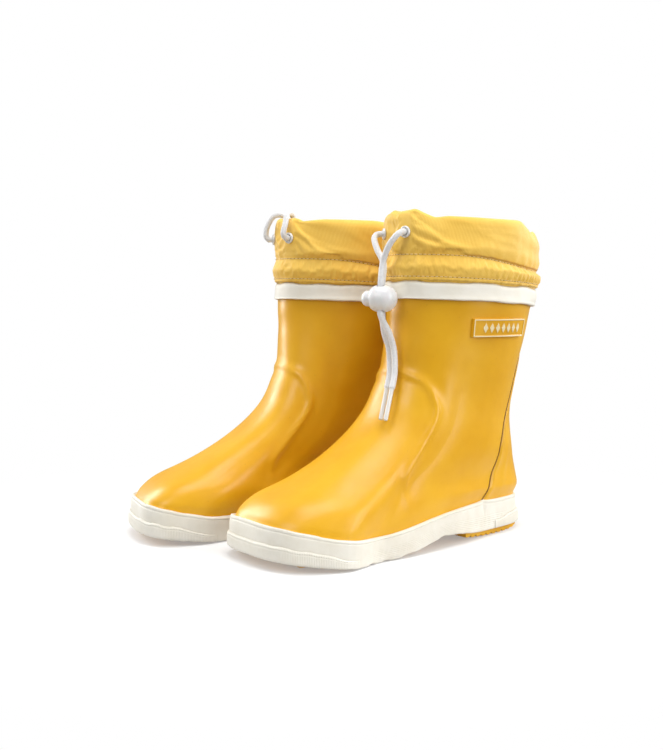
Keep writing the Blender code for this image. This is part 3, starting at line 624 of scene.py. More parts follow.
def foxing(side):
    """The white band: its rounded lips, the welt line, the arch's ribs and the crease under the counter."""
    angles = ring_angles(760)[None, :]
    away = side_angle(angles)
    level = np.concatenate((np.linspace(-0.01, 1.0, FOXING_ROWS), FOXING_BACK_LEVELS))[:, None]
    distance = np.concatenate((np.zeros(FOXING_ROWS), FOXING_BACK_DISTANCES))[:, None]
    face = np.concatenate((np.ones(FOXING_ROWS), np.zeros(len(FOXING_BACK_LEVELS))))[:, None]
    low_edge = 0.9 * np.maximum(0.0, 1 - (level + 0.01) / 0.06) ** 2
    top_edge = 0.5 * np.maximum(0.0, (level - 0.965) / 0.035) ** 2
    welt = 0.22 * bell(level, 0.93, 0.045) - 0.30 * bell(level, 0.845, 0.022)
    arch = between_sides(angles, 66, 0.25, 150, 0.3)
    ribs = 0.20 * np.cos(2 * math.pi * level / ARCH_RIB_PITCH)
    ribs = ribs * eased((0.52 - level) / 0.06) * eased((level - 0.04) / 0.04)
    crease_width = 0.006 + 0.022 * eased((level - 0.4) / 0.6)
    crease = 1.25 * bell(away, CREASE, crease_width) * eased((level - 0.36) / 0.4)
    fold = 0.30 * bell(away, CREASE + 0.15, 0.05) * eased((level - 0.2) / 0.3) * eased((0.9 - level) / 0.2)
    bulge = 0.40 * bell(away, CREASE - 0.075, 0.04) * eased((level - 0.3) / 0.4)
    hand_laid = 0.16 * ripple(angles, 4, 18, 3) * eased(level / 0.3)
    relief = (welt - low_edge - top_edge + arch * ribs - crease - fold + bulge + hand_laid) * face
    peak = 0.12 * bell(away, CREASE, 0.045) * eased((level - 0.7) / 0.3)
    scallops = 0.055 * np.maximum(0, ripple(angles, 30, 60, 8)) * eased((0.22 - level) / 0.2)
    ball = between_sides(angles, 30, 0.3, 118, 0.3)
    edge_wave = 0.012 * ripple(angles, 6, 24, 5) * eased((level - 0.6) / 0.4)
    levels = level + peak + scallops * ball + edge_wave
    thing = loop_piece(side, f"{side}_foxing_band", levels, distance + relief, angles, "white_rubber")
    finish_piece(thing, f"{side}_boot", [f"{side}_foxing"])


def guard(side, name, middle, half_span, top, seed):
    """A thick rubber lip round the toe or the heel, its face finely ribbed and its ends thinned out."""
    angles = np.linspace(middle - half_span, middle + half_span, 260)[None, :]
    across = np.linspace(0.0, 1.0, 26)
    outer = across[:, None]
    from_end = (half_span - np.abs(angles - middle)) / 0.16
    swell = eased(from_end)
    height = 0.05 + (top - 0.05) * (0.55 + 0.45 * eased(from_end / 2.2)) + 0.015 * ripple(angles, 8, 30, seed)
    section = 1.0 - np.abs(2 * outer - 1) ** 5
    groove = 0.35 * bell(outer, 0.80, 0.035)
    bead = 0.18 * bell(outer, 0.90, 0.06)
    face = 0.42 + (1.25 * section - groove + bead) * (0.15 + 0.85 * swell)
    level = 0.012 + outer * height
    back_level = np.array([1.0, 0.5, 0.0])[:, None] * height + 0.012
    levels = np.concatenate((level, back_level), axis=0)
    distances = np.concatenate((face, np.full((3, angles.shape[1]), 0.1)), axis=0)
    thing = loop_piece(side, f"{side}_{name}_lip", levels, distances, angles, "ribbed_rubber", around=False)
    finish_piece(thing, f"{side}_boot", [f"{side}_{name}"])


def edge_at(forward, turn):
    """The foxing's lower edge at distances forward, on the outer (+1) or inner (-1) side."""
    edge = wall(0.0, turn * np.linspace(math.pi, 0.0, 181))
    return np.interp(forward, edge[:, 1], edge[:, 0]), np.interp(forward, edge[:, 1], edge[:, 2])


def ground_line(forward):
    """The tread's lowest height: flat, but for the toe's spring and the heel's worn front."""
    heel_roll = max(0.0, forward - 28.0) ** 2 * 0.0018 if forward < HEEL_END else 0.0
    return max(0.0, forward - 168.0) ** 2 * 0.0022 + heel_roll


def sole_sheet(side, name, inset, top, thickness, material, replaced):
    """A board inside the foxing that follows the sole's curve."""
    turns = np.linspace(math.radians(5), math.pi - math.radians(5), 110)
    across = np.linspace(-1.0, 1.0, 33)
    ends = []
    for sign in (-1, 1):
        p = wall(0.0, sign * turns)
        n = wall_normal(0.5, sign * turns)
        n[:, 2] = 0.0
        ends.append(p - n / np.linalg.norm(n, axis=1, keepdims=True) * inset)
    inner, outer = ends
    mix = (across[None, :, None] + 1) / 2
    points = inner[:, None] * (1 - mix) + outer[:, None] * mix
    middle = (inner[:, 2] + outer[:, 2]) / 2
    crown = 0.8 * np.abs(across[None, :]) ** 4
    points[..., 2] = middle[:, None] + top - crown
    thing = grid_piece(side, name, points, material, around=False, thickness=thickness)
    finish_piece(thing, f"{side}_boot", replaced)


def tread(side):
    """Wavy bars across the heel and the ball of the foot, with a shallow web between the heel's bars."""
    bm = bmesh.new()
    count = 56
    webs = [(bar + 3.2, 1.2) for bar in HEEL_BARS[:-1]]
    for index, (forward, lift) in enumerate([(bar, 0.0) for bar in HEEL_BARS + FORE_BARS] + webs):
        right, roof_right = edge_at(forward, 1)
        left, roof_left = edge_at(forward, -1)
        heel = forward < HEEL_END
        inset = HEEL_BAR_INSET if heel else FORE_BAR_INSET
        at = np.linspace(left + inset, right - inset, count)
        edge = min(roof_right, roof_left)
        inside = np.minimum(at - left, right - at) - FOXING - 0.5
        roof = edge - 0.1 + 1.5 * eased(inside / 1.0)
        floor = ground_line(forward) + lift
        if edge - floor < 0.5 or right - left < 20.0:
            continue
        wave = 0.0 if heel else 1.5 * np.sin(2 * math.pi * at / 13.0 + index * math.pi * 0.5)
        shoulder = 1.5 * np.maximum(0, np.abs(np.linspace(-1, 1, count)) - 0.9) * 10
        rows = []
        slim = 0.95 if heel else 1.0
        for offset, up, pinch in ((-3.0, roof, 0.0), (-2.8, floor + 0.9, 0.4), (-1.9, floor, 1.0),
                                  (1.9, floor, 1.0), (2.8, floor + 0.9, 0.4), (3.0, roof, 0.0)):
            half = offset * slim - math.copysign(1.0, offset) * 0.5 * shoulder
            ends = at * (1 - pinch * 0.012)
            row = np.stack((ends, forward + wave + half, np.broadcast_to(up, count)), axis=-1)
            rows.append([bm.verts.new(p) for p in place(side, row)])
        for low, high in zip(rows, rows[1:] + rows[:1]):
            for k in range(count - 1):
                bm.faces.new((low[k], low[k + 1], high[k + 1], high[k]))
        bm.faces.new([row[0] for row in rows])
        bm.faces.new([row[-1] for row in reversed(rows)])
    bmesh.ops.recalc_face_normals(bm, faces=bm.faces)
    mesh = mesh_from(bm, f"{side}_tread_bars")
    thing = new_piece(f"{side}_tread_bars", mesh, "yellow_rubber")
    mesh.set_sharp_from_angle(angle=math.radians(50))
    finish_piece(thing, f"{side}_boot", [f"{side}_outsole"])


# ---------------------------------------------------------------- rubber upper
# The instep reinforcement's outline, and the heel counter's front seam: level, angle in degrees
INSTEP_RIDGE = ((0.9, 88), (1.5, 86), (2.07, 82), (2.79, 74.9), (3.13, 69.7), (3.35, 64), (3.65, 58),
                (3.98, 53.6), (4.24, 53.9), (4.43, 55), (4.63, 54.5), (4.76, 51.2), (4.96, 45.2),
                (5.1, 36.5), (5.15, 27.2), (5.2, 15), (5.22, 0))
COUNTER_SEAM = ((0.9, 120.4), (1.19, 120.7), (2.36, 121.8), (3.44, 122.4), (4.09, 121.4), (4.65, 126.1),
                (5.17, 134.3), (5.62, 140), (6.25, 145), (6.6, 152), (6.9, 165), (7.0, 180))
COUNTER_TOP = COUNTER_SEAM[-1][0]


def smooth_line(points, count):
    pts = np.array(points, float)
    run = np.concatenate(([0.0], np.cumsum(np.hypot(np.diff(pts[:, 0]) * 18.0, np.diff(pts[:, 1]) * 0.7))))
    at = np.linspace(0, run[-1], count)
    line = np.stack([np.interp(at, run, pts[:, k]) for k in range(2)], axis=-1)
    for _ in range(3):
        line[1:-1] = 0.25 * line[:-2] + 0.5 * line[1:-1] + 0.25 * line[2:]
    return line


def instep_relief(points, levels, angles):
    """A soft bead along the reinforcement's edge, and its slightly raised inside."""
    line = smooth_line(INSTEP_RIDGE, 140)
    tree = KDTree(2 * len(line))
    crest = []
    for sign in (1, -1):
        for k, p in enumerate(skin(line[:, 0], sign * np.radians(line[:, 1]), 0.0)):
            tree.insert(Vector(p), len(crest))
            crest.append(line[k, 0])
    tree.balance()
    crest = np.array(crest)
    flat = points.reshape(-1, 3)
    found = [tree.find(p) for p in flat]
    gap = np.array([f[2] for f in found]).reshape(points.shape[:2])
    crest_level = crest[[f[1] for f in found]].reshape(points.shape[:2])
    ridge_angle = np.interp(levels, line[:, 0], np.radians(line[:, 1]))
    inside = (side_angle(angles) < ridge_angle) & (levels < INSTEP_RIDGE[-1][0])
    signed = np.where(inside, gap, -gap)
    strength = np.interp(crest_level, (1.0, 2.4, 3.1, 3.4, 3.7, 4.2, 4.9, 5.22),
                         (0.25, 0.4, 0.9, 1.15, 0.95, 1.2, 1.15, 0.7))
    bead = 1.25 * bell(signed, 0.0, 2.6)
    hollow = 0.22 * bell(signed, -6.4, 3.4)
    dent = 0.25 * bell(signed, 5.8, 3.0)
    pad = 0.5 * eased((signed + 1.0) / 9.0)
    return (bead - hollow - dent) * strength + pad


def round_vamp(points, levels, angles):
    """Evens out the vamp's shoulders, which the frame's few sections leave angular."""
    front = eased((math.radians(105) - side_angle(angles)) / 0.5)
    share = (0.5 * eased((levels - 1.2) / 0.5) * eased((4.7 - levels) / 0.9) * front)[1:-1, :, None]
    for _ in range(260):
        points[1:-1] += share * (0.5 * (points[:-2] + points[2:]) - points[1:-1])
    return points


def upper(side):
    angles = ring_angles(420)[None, :]
    levels = np.concatenate((np.linspace(0.9, 2.2, 30)[:-1], np.linspace(2.2, 8.5, 165)))[:, None]
    levels, angles = np.broadcast_arrays(levels, angles)
    base = under(levels)
    body = round_vamp(skin(levels, angles, base), levels, angles)
    relief = instep_relief(body, levels, angles) * eased((levels - 1.0) / 0.4)
    dimple = (0.22 * ripple(angles, 2, 7, 21) * bell(levels, 3.6, 1.6)
              + 0.15 * ripple(angles, 3, 9, 22) * bell(levels, 6.6, 1.2))
    points = body + wall_normal(levels, angles) * (relief + dimple)[..., None]
    thing = grid_piece(side, f"{side}_rubber_upper", points, "yellow_rubber", thickness=1.9)
    finish_piece(thing, f"{side}_boot", [f"{side}_upper", f"{side}_instep_reinforcement"])


def counter(side):
    """The heel counter: a thin patch with rounded edges, and a dark wire along its front edge that paints the
    shadow there.
    """
    line = smooth_line(COUNTER_SEAM, 120)
    share = np.linspace(-1.0, 1.0, 121)[None, :]
    half_turn = (math.pi - np.radians(line[:, 1]))[:, None]
    angles = math.pi - share * half_turn
    levels = np.broadcast_to(line[:, :1], angles.shape)
    from_edge = (1 - np.abs(share)) * half_turn * 32.0
    from_top = (COUNTER_TOP - levels) * 16.0
    edge = np.sqrt(np.clip(np.minimum(from_edge, from_top) / 1.0, 0.0, 1.0))
    pleat_at = math.radians(132) + 0.02 * (levels - 2.0)
    pleat = 0.5 * bell(side_angle(angles), pleat_at, 0.05) * bell(levels, 2.9, 1.1)
    rim = 0.25 * bell(from_edge, 1.3, 0.9)
    points = skin(levels, angles, under(levels) - 0.25 + 1.25 * edge + pleat + rim)
    thing = grid_piece(side, f"{side}_counter_patch", points, "yellow_rubber", around=False)
    finish_piece(thing, f"{side}_boot", [f"{side}_heel_counter"])
    # a thin dark wire along the counter's front edge, painted shadow
    level, angle = line[:-4, 0], np.radians(line[:-4, 1]) - 0.009
    route = np.concatenate([skin(level[::way], way * angle[::way], under(level[::way]) + 0.05)
                            for way in (1, -1)])
    seam = wire(f"{side}_counter_seam_shadow", place(side, route), 1.0, "painted_seam_shadow")
    finish_piece(seam, f"{side}_boot")


def wire(name, world_points, diameter, material):
    curve = bpy.data.curves.new(name, "CURVE")
    curve.dimensions = "3D"
    spline = curve.splines.new("POLY")
    spline.points.add(len(world_points) - 1)
    for point, p in zip(spline.points, world_points):
        point.co = (*p, 1.0)
    curve.bevel_depth = diameter / 2 * MM
    curve.bevel_resolution = 2
    curve.use_fill_caps = True
    curve.materials.append(MATERIALS[material])
    return linked(name, curve)


def heel_tab(side):
    angle = np.linspace(-1.0, 1.0, 41)[None, :]
    level = np.linspace(0.0, 1.0, 41)[:, None]
    rounded = 1 - np.maximum(np.abs(angle) ** 8, np.abs(2 * level - 1) ** 8)
    level, angle = np.broadcast_arrays(1.1 + level * 0.85, math.pi + angle * 0.21)
    points = skin(level, angle, under(level) + 0.6 + 1.5 * eased(rounded * 3))
    thing = grid_piece(side, f"{side}_heel_label", points, "grey_tab", around=False)
    finish_piece(thing, f"{side}_boot", [f"{side}_heel_tab"])


def on_side(forward, up):
    """Levels and angles of the points of the outer side with this forward and up, by Newton's steps."""
    level = np.full(forward.shape, 6.5)
    angle = np.full(forward.shape, math.pi / 2)
    step = 1e-3
    for _ in range(12):
        here = wall(level, angle)[..., 1:]
        by_level = (wall(level + step, angle)[..., 1:] - here) / step
        by_angle = (wall(level, angle + step)[..., 1:] - here) / step
        miss = np.stack((forward, up), axis=-1) - here
        det = by_level[..., 0] * by_angle[..., 1] - by_level[..., 1] * by_angle[..., 0]
        level = level + (miss[..., 0] * by_angle[..., 1] - miss[..., 1] * by_angle[..., 0]) / det
        angle = angle + (by_level[..., 0] * miss[..., 1] - by_level[..., 1] * miss[..., 0]) / det
    return level, angle


def badge(side):
    """A raised plaque with a cream rim and a plain row of lozenges in place of lettering."""
    width, height = BADGE_SIZE
    across = np.linspace(-width / 2, width / 2, 200)[None, :]
    along = np.linspace(-height / 2, height / 2, 64)[:, None]
    across, along = np.broadcast_arrays(across, along)
    level, angle = on_side(BADGE_CENTRE[0] - across, BADGE_CENTRE[1] + along)
    inset = np.minimum(width / 2 - np.abs(across), height / 2 - np.abs(along))
    pitch = 5.0
    lozenge = 1 - np.abs((across + pitch / 2) % pitch - pitch / 2) / 2.2 - np.abs(along) / 4.0
    lozenge = np.where(np.abs(across) < 3.5 * pitch + 0.1, lozenge, -1.0)
    rim = eased((inset - 0.15) / 0.3) * eased((1.45 - inset) / 0.3)
    raised = np.maximum(rim, eased(lozenge / 0.22))
    body = 2.0 * np.sqrt(np.clip(inset / 0.35, 0.0, 1.0))
    points = skin(level, angle, under(level) + 0.1 + body + 0.55 * raised)
    thing = grid_piece(side, f"{side}_plaque", points, "yellow_rubber", around=False)
    thing.data.materials.append(MATERIALS["cream_print"])
    quad = (raised[:-1, :-1] + raised[1:, :-1] + raised[:-1, 1:] + raised[1:, 1:]) / 4
    thing.data.polygons.foreach_set("material_index", (quad > 0.72).astype(int).reshape(-1))
    finish_piece(thing, f"{side}_boot", [f"{side}_badge"])


# ---------------------------------------------------------------- top band, collar and lining
def top_band(side):
    angles = ring_angles(280)[None, :]
    outer = np.linspace(0.0, 1.0, 22)
    level = np.concatenate((outer, (0.985, 0.5, 0.015)))[:, None]
    face = np.concatenate((1.2 * (1 - np.abs(2 * outer - 1) ** 9), (0.0, 0.0, 0.0)))[:, None]
    lip = 0.22 * bell(level, 0.07, 0.05) + 0.15 * bell(level, 0.93, 0.05)
    levels = 8.0 + 1.04 * level + 0.02 * ripple(angles, 3, 12, 11)
    distance = under(levels) + 1.85 + face + lip * (face > 0) + 0.12 * ripple(angles, 4, 16, 12)
    thing = loop_piece(side, f"{side}_band_strip", levels, distance, angles, "white_rubber")
    finish_piece(thing, f"{side}_boot", [f"{side}_top_band"])


# the collar's strip of cloth, from its tucked hem over the fold to its inner hem: level, distance
COLLAR_STRIP = ((8.45, 0.15), (9.02, -1.15), (9.09, 0.65), (9.2, 1.25), (9.36, 0.9), (9.47, -0.3),
                (9.62, 0.6), (9.82, 0.7), (9.96, -0.2), (10.02, -2.2), (10.02, -4.6),
                (9.93, -6.4), (9.7, -7.0), (9.35, -7.2), (9.0, -7.2))
STITCH_ROWS = (9.13, 9.47)
COLLAR_GRID, COLLAR_CLOTH = (100, 440), 0.9
CLOTH_FRAMES, CLOTH_GROW, CLOTH_CAP = 16, 0.05, 0.0022
# the last number is the radius of the thin dark tube that paints the shade along each row of stitches
STITCH, STITCH_GAP, THREAD, SEAM_SHADE_RADIUS = 2.0, 1.0, 0.31, 0.24
# how far the gathered top edge stands above or below its smooth line, in mm, at angles in degrees
TOP_EDGE = {
    "left": ((-60, -0.5), (-40, -1.5), (-27, 0.6), (-17, -0.4), (-9, 1.2), (-2, 0.1), (8, 0.3), (20, 2.6),
             (36, -2.3), (46, -0.8), (80, -0.3), (103, 0.8), (113, -2.2), (125, -5.4), (131, -3.6),
             (146, -4.6), (178, -2.4), (205, -4.2), (232, -1.6), (255, -2.6), (285, 0.6)),
    "right": ((-50, 2.2), (-32, 0.4), (-20, 1.4), (-8, -1.4), (4, 1.6), (18, -0.6), (34, 1.8), (52, -2.6),
              (75, -0.4), (98, 0.8), (118, -3.2), (140, -1.4), (165, -3.6), (190, -1.0), (214, -3.8),
              (240, 0.4), (272, 3.2), (295, 2.6))}


def collar_section(rows):
    """Levels, distances and running length in mm along the collar's strip, hem to inner hem."""
    pts = [(level * TOP_RISE, distance, 0.0) for level, distance in COLLAR_STRIP]
    line = smooth_route(pts, 0.5)
    run = run_along(line)
    at = np.linspace(0, run[-1], rows)
    return np.interp(at, run, line[:, 0]) / TOP_RISE, np.interp(at, run, line[:, 1]), at


def near_eyelets(angles):
    calm = np.ones_like(angles)
    for degrees in EYELETS.values():
        apart = (angles - math.radians(degrees) + math.pi) % (2 * math.pi) - math.pi
        calm = calm * (1 - 0.9 * bell(apart, 0.0, 0.10))
    return calm


def round_the_top(side, angles):
    """The top edge's height, in mm, smoothly through TOP_EDGE."""
    knots = np.array(TOP_EDGE[side], float)
    degrees = np.concatenate([knots[:, 0] + turn for turn in (-360, 0, 360)])
    fine = np.linspace(-360, 720, 2161)
    height = np.interp(fine, degrees, np.tile(knots[:, 1], 3))
    kernel = bell(np.arange(-9, 10), 0.0, 4.0)
    height = np.convolve(height, kernel / kernel.sum(), mode="same")
    return np.interp(np.degrees(angles), fine, height)


def collar_points(side, rows, columns):
    """The sewn shape: rolls between the stitch rows, puckers beside them and a gathered top edge."""
    seed = 40 if side == "left" else 60
    level, distance, run = collar_section(rows)
    angles = np.broadcast_to(ring_angles(columns)[None, :], (rows, columns))
    fold = int(np.argmax(level))
    low, high = [int(np.argmin(np.abs(level[:fold] - row))) for row in STITCH_ROWS]
    at = run[:, None]
    back = eased((side_angle(angles) - math.radians(55)) / math.radians(70))
    outside = eased((run[fold] + 6.0 - at) / 8.0)
    calm = near_eyelets(angles)
    sunk = -(0.65 + 1.05 * back) * bell(at, run[high], 2.2)
    rolled = (0.35 + 0.5 * back) * bell(at, (run[low] + run[high]) / 2, 4.2)
    pull = -0.85 * bell(at, run[low], 1.4)
    fine = (0.16 + 0.62 * back) * ripple(angles, 58, 92, seed + 1) * bell(at, run[low] + 2.2, 3.6)
    fine = fine * (at > run[low])
    rope = (0.10 + 0.40 * back) * np.cos(110 * angles) * bell(at, run[low], 1.3)
    hem = 0.25 * ripple(angles, 40, 74, seed + 2) * bell(at, run[low] - 2.6, 1.4)
    above = (0.28 + 0.30 * back) * ripple(angles, 26, 50, seed + 3) * bell(at, run[high] + 3.2, 4.4)
    below = (0.12 + 0.25 * back) * ripple(angles, 30, 60, seed + 4) * bell(at, run[high] - 2.6, 2.4)
    tunnel = 0.42 * ripple(angles, 7, 18, seed + 5) * bell(at, (run[high] + run[fold]) / 2 + 2.0, 7.0)
    height = round_the_top(side, angles)
    valley = np.clip(-height, 0.0, 4.0) / 4.0
    pinch = -1.5 * valley * bell(at, run[fold] - 3.0, 7.0)
    puff = 0.9 * np.clip(height + 0.5, 0.0, 3.0) / 3.0 * bell(at, run[fold] - 5.0, 7.0)
    start = eased((at - run[low] + 4.5) / 3.0)
    relief = sunk + rolled + pull + fine + rope + hem + above + below + tunnel + pinch + puff
    relief = relief * outside * calm * start
    sag = -0.11 * back * bell(level[:, None], STITCH_ROWS[1], 0.2) * outside
    points = skin(level[:, None] + sag, angles, distance[:, None] + relief)
    reach = bell(at, run[fold], np.where(at < run[fold], 11.0, 16.0))
    points[..., 2] += reach * (height * (0.45 + 0.55 * calm) - 0.3)
    return points, (low, high, fold)


def settle_cloth(thing, pinned, frames, grow, cap):
    """Lets the loose parts of a cloth buckle by simulation, each point moving at most cap metres."""
    scene = bpy.context.scene
    group = thing.vertex_groups.new(name="pinned")
    for share in np.unique(np.round(pinned, 2)):
        if share > 0.0:
            group.add(np.flatnonzero(np.round(pinned, 2) == share).tolist(), float(share), "REPLACE")
    rest = np.empty(len(thing.data.vertices) * 3)
    thing.data.vertices.foreach_get("co", rest)
    cloth = thing.modifiers.new("cloth", "CLOTH")
    settings = cloth.settings
    settings.quality = 5
    settings.mass = 0.12
    settings.tension_stiffness = settings.compression_stiffness = 12.0
    settings.shear_stiffness = 4.0
    settings.bending_stiffness = 0.08
    settings.air_damping = 4.0
    settings.vertex_group_mass = "pinned"
    settings.shrink_min = -grow
    settings.effector_weights.gravity = 0.3
    cloth.collision_settings.use_collision = False
    cloth.collision_settings.use_self_collision = False
    cloth.point_cache.frame_end = frames
    for at in range(1, frames + 1):
        scene.frame_set(at)
    graph = bpy.context.evaluated_depsgraph_get()
    settled = np.empty_like(rest)
    thing.evaluated_get(graph).data.vertices.foreach_get("co", settled)
    thing.modifiers.remove(cloth)
    thing.vertex_groups.remove(group)
    scene.frame_set(1)
    move = (settled - rest).reshape(-1, 3)
    far = np.linalg.norm(move, axis=1, keepdims=True)
    move = move * np.minimum(1.0, cap / np.maximum(far, 1e-9)) * (1 - pinned[:, None])
    thing.data.vertices.foreach_set("co", (rest.reshape(-1, 3) + move).reshape(-1))
    thing.data.update()


def collar(side):
    """The collar's cloth, buckled by simulation between its seams, and its stitches; its flat size is
    measured but kept nowhere.
    """
    rows, columns = COLLAR_GRID
    points, (low, high, fold) = collar_points(side, rows, columns)
    thing = grid_piece(side, f"{side}_collar_cloth", points, "collar_nylon")
    row = np.arange(rows)[:, None]
    seam = np.maximum(np.exp(-((row - low) / 1.6) ** 4), np.exp(-((row - high) / 1.6) ** 4))
    tucked = np.maximum((row < low - 3), (row > fold + 14)).astype(float)
    ring = 1 - (near_eyelets(ring_angles(columns))[None, :] - 0.1) / 0.9
    ring = ring * np.exp(-((row - (high + fold) / 2 - 2) / 12.0) ** 4)
    pinned = np.clip(np.maximum(np.maximum(seam, tucked), ring), 0.0, 1.0)
    settle_cloth(thing, pinned.reshape(-1), CLOTH_FRAMES, CLOTH_GROW, CLOTH_CAP)
    thicken(thing, COLLAR_CLOTH)
    finish_piece(thing, f"{side}_boot", [f"{side}_collar"])
    sewn = stitches(side, points, (low, high))
    run = run_along(np.concatenate((points[fold], points[fold, :1])))[-1]
    strip = run_along(points[:, columns // 4])[-1]


def stitches(side, points, rows):
    """Both rows of machine stitches round the collar, each laid on a thin dark tube that paints the shade of
    the seam's groove and of the gaps between stitches.
    """
    bm = bmesh.new()
    dark = bmesh.new()
    for row in rows:
        ring = place(side, points[row]) / MM
        normal = place(side, points[row] + wall_normal(9.3, ring_angles(points.shape[1]))) / MM - ring
        closed = np.concatenate((ring, ring[:1]))
        normal = np.concatenate((normal, normal[:1]))
        run = run_along(closed)
        line = resampled(np.linspace(0.0, run[-1], 500), run, closed)
        # a thin dark tube along the row paints the shade of the seam's groove
        tube_into(dark, line * MM, SEAM_SHADE_RADIUS * MM, normal[0])
        count = int(run[-1] // (STITCH + STITCH_GAP))
        lift = 0.50 * np.sin(np.linspace(0, math.pi, 7)) ** 0.5 - 0.10
        for k in range(count):
            at = run[-1] * k / count + np.linspace(0, STITCH, 7)
            p, n = resampled(at, run, closed), resampled(at, run, normal)
            tube_into(bm, (p + n * lift[:, None]) * MM, THREAD * MM, n[0])
    sewn = []
    # the thread, and the dark tubes that paint the seam's shade
    for name, made, material in (("stitches", bm, "thread"), ("painted_seam_shades", dark, "painted_seam_shade")):
        name = f"{side}_collar_{name}"
        thing = new_piece(name, mesh_from(made, name), material)
        sewn.append(finish_piece(thing, f"{side}_boot"))
    return sewn


def tube_into(bm, path, radius, up, sides=6):
    """A closed little tube along a short path."""
    rings = []
    for k, p in enumerate(path):
        ahead = path[min(k + 1, len(path) - 1)] - path[max(k - 1, 0)]
        ahead = ahead / np.linalg.norm(ahead)
        across = np.cross(ahead, up)
        across = across / np.linalg.norm(across)
        top = np.cross(across, ahead)
        r = radius * (0.55 if k in (0, len(path) - 1) else 1.0)
        rings.append([bm.verts.new(p + r * (math.cos(a) * across + math.sin(a) * top))
                      for a in np.linspace(0, 2 * math.pi, sides, endpoint=False)])
    for low, high in zip(rings, rings[1:]):
        for k in range(sides):
            j = (k + 1) % sides
            bm.faces.new((low[k], low[j], high[j], high[k]))
    bm.faces.new(rings[0][::-1])
    bm.faces.new(rings[-1])


def lining(side):
    angles = ring_angles(200)[None, :]
    levels = np.linspace(1.2, 8.85, 110)[:, None]
    levels, angles = np.broadcast_arrays(levels, angles)
    soft = 0.3 * ripple(angles, 3, 12, 31) * bell(levels, 6.5, 2.0)
    points = skin(levels, angles, under(levels) - RUBBER - 3 * CLEAR - 0.3 + soft)
    thing = grid_piece(side, f"{side}_lining_cloth", points, "lining_cotton", thickness=0.9)
    finish_piece(thing, f"{side}_boot", [f"{side}_lining"])


# ---------------------------------------------------------------- eyelets, drawstring and cord lock
def eyelet_frame(degrees):
    angle = math.radians(degrees)
    return skin(EYELET_LEVEL, angle, 1.05), wall_normal(EYELET_LEVEL, angle)


def eyelet_exit(degrees, along):
    point, normal = eyelet_frame(degrees)
    return point + normal * along


def eyelet(side, end):
    """A rolled ring flange on a short barrel; the flat washer behind the cloth is left as imported."""
    point, normal = eyelet_frame(EYELETS[end])
    origin, axis = place(side, point), place_direction(side, normal)
    hole, flange, barrel = 2.3, 3.95, 2.75
    crown = [(hole + (flange - hole) / 2 * (1 - math.cos(a)), 0.25 + 1.05 * math.sin(a))
             for a in np.linspace(math.pi, 0.0, 15)]
    profile = [(barrel, -2.6), (barrel, 0.0), (flange, 0.0)] + crown + [(hole, -2.6), (barrel, -2.6)]
    ring = lathe(f"{side}_eyelet_ring_{end}", profile[::-1], origin, axis, "painted_metal")
    clean_mesh(ring, weld=1e-6, outwards=True)
    finish_piece(ring, f"{side}_boot", [f"{side}_eyelet_{end}"])


def plaited_tube(name, centres, diameter, material):
    """A round plait: a tube along the centreline, its strands crossing in raised lozenges."""
    sides, strands, pitch = 48, 8, 3.0
    run = run_along(centres)
    ahead = np.gradient(centres, axis=0)
    ahead = ahead / np.linalg.norm(ahead, axis=1, keepdims=True)
    across = np.cross(ahead[0], (0.0, 0.3, 1.0) if abs(ahead[0][2]) < 0.9 else (1.0, 0.0, 0.0))
    rows = []
    for k, centre in enumerate(centres):
        across = across - ahead[k] * np.dot(across, ahead[k])
        across = across / np.linalg.norm(across)
        top = np.cross(ahead[k], across)
        a = np.linspace(0, 2 * math.pi, sides, endpoint=False)
        turn = 2 * math.pi * run[k] / pitch
        left, right = np.cos(strands * a + turn), np.cos(strands * a - turn)
        over = np.where(np.cos(strands * a) * np.cos(turn) > 0, left, right)
        radius = diameter / 2 - PLAIT + PLAIT * np.abs(over)
        closing = min(1.0, 0.75 + 0.25 * min(k, len(centres) - 1 - k))
        outwards = np.cos(a)[:, None] * across + np.sin(a)[:, None] * top
        rows.append(centre + (radius * closing)[:, None] * outwards)
    verts = np.array(rows) * MM
    count = len(rows)
    quads = grid_quads(count, sides, sides).tolist()
    caps = [list(range(sides))[::-1], list(range((count - 1) * sides, count * sides))]
    mesh = bpy.data.meshes.new(name)
    mesh.from_pydata(verts.reshape(-1, 3).tolist(), [], quads + caps)
    return new_piece(name, mesh, material)


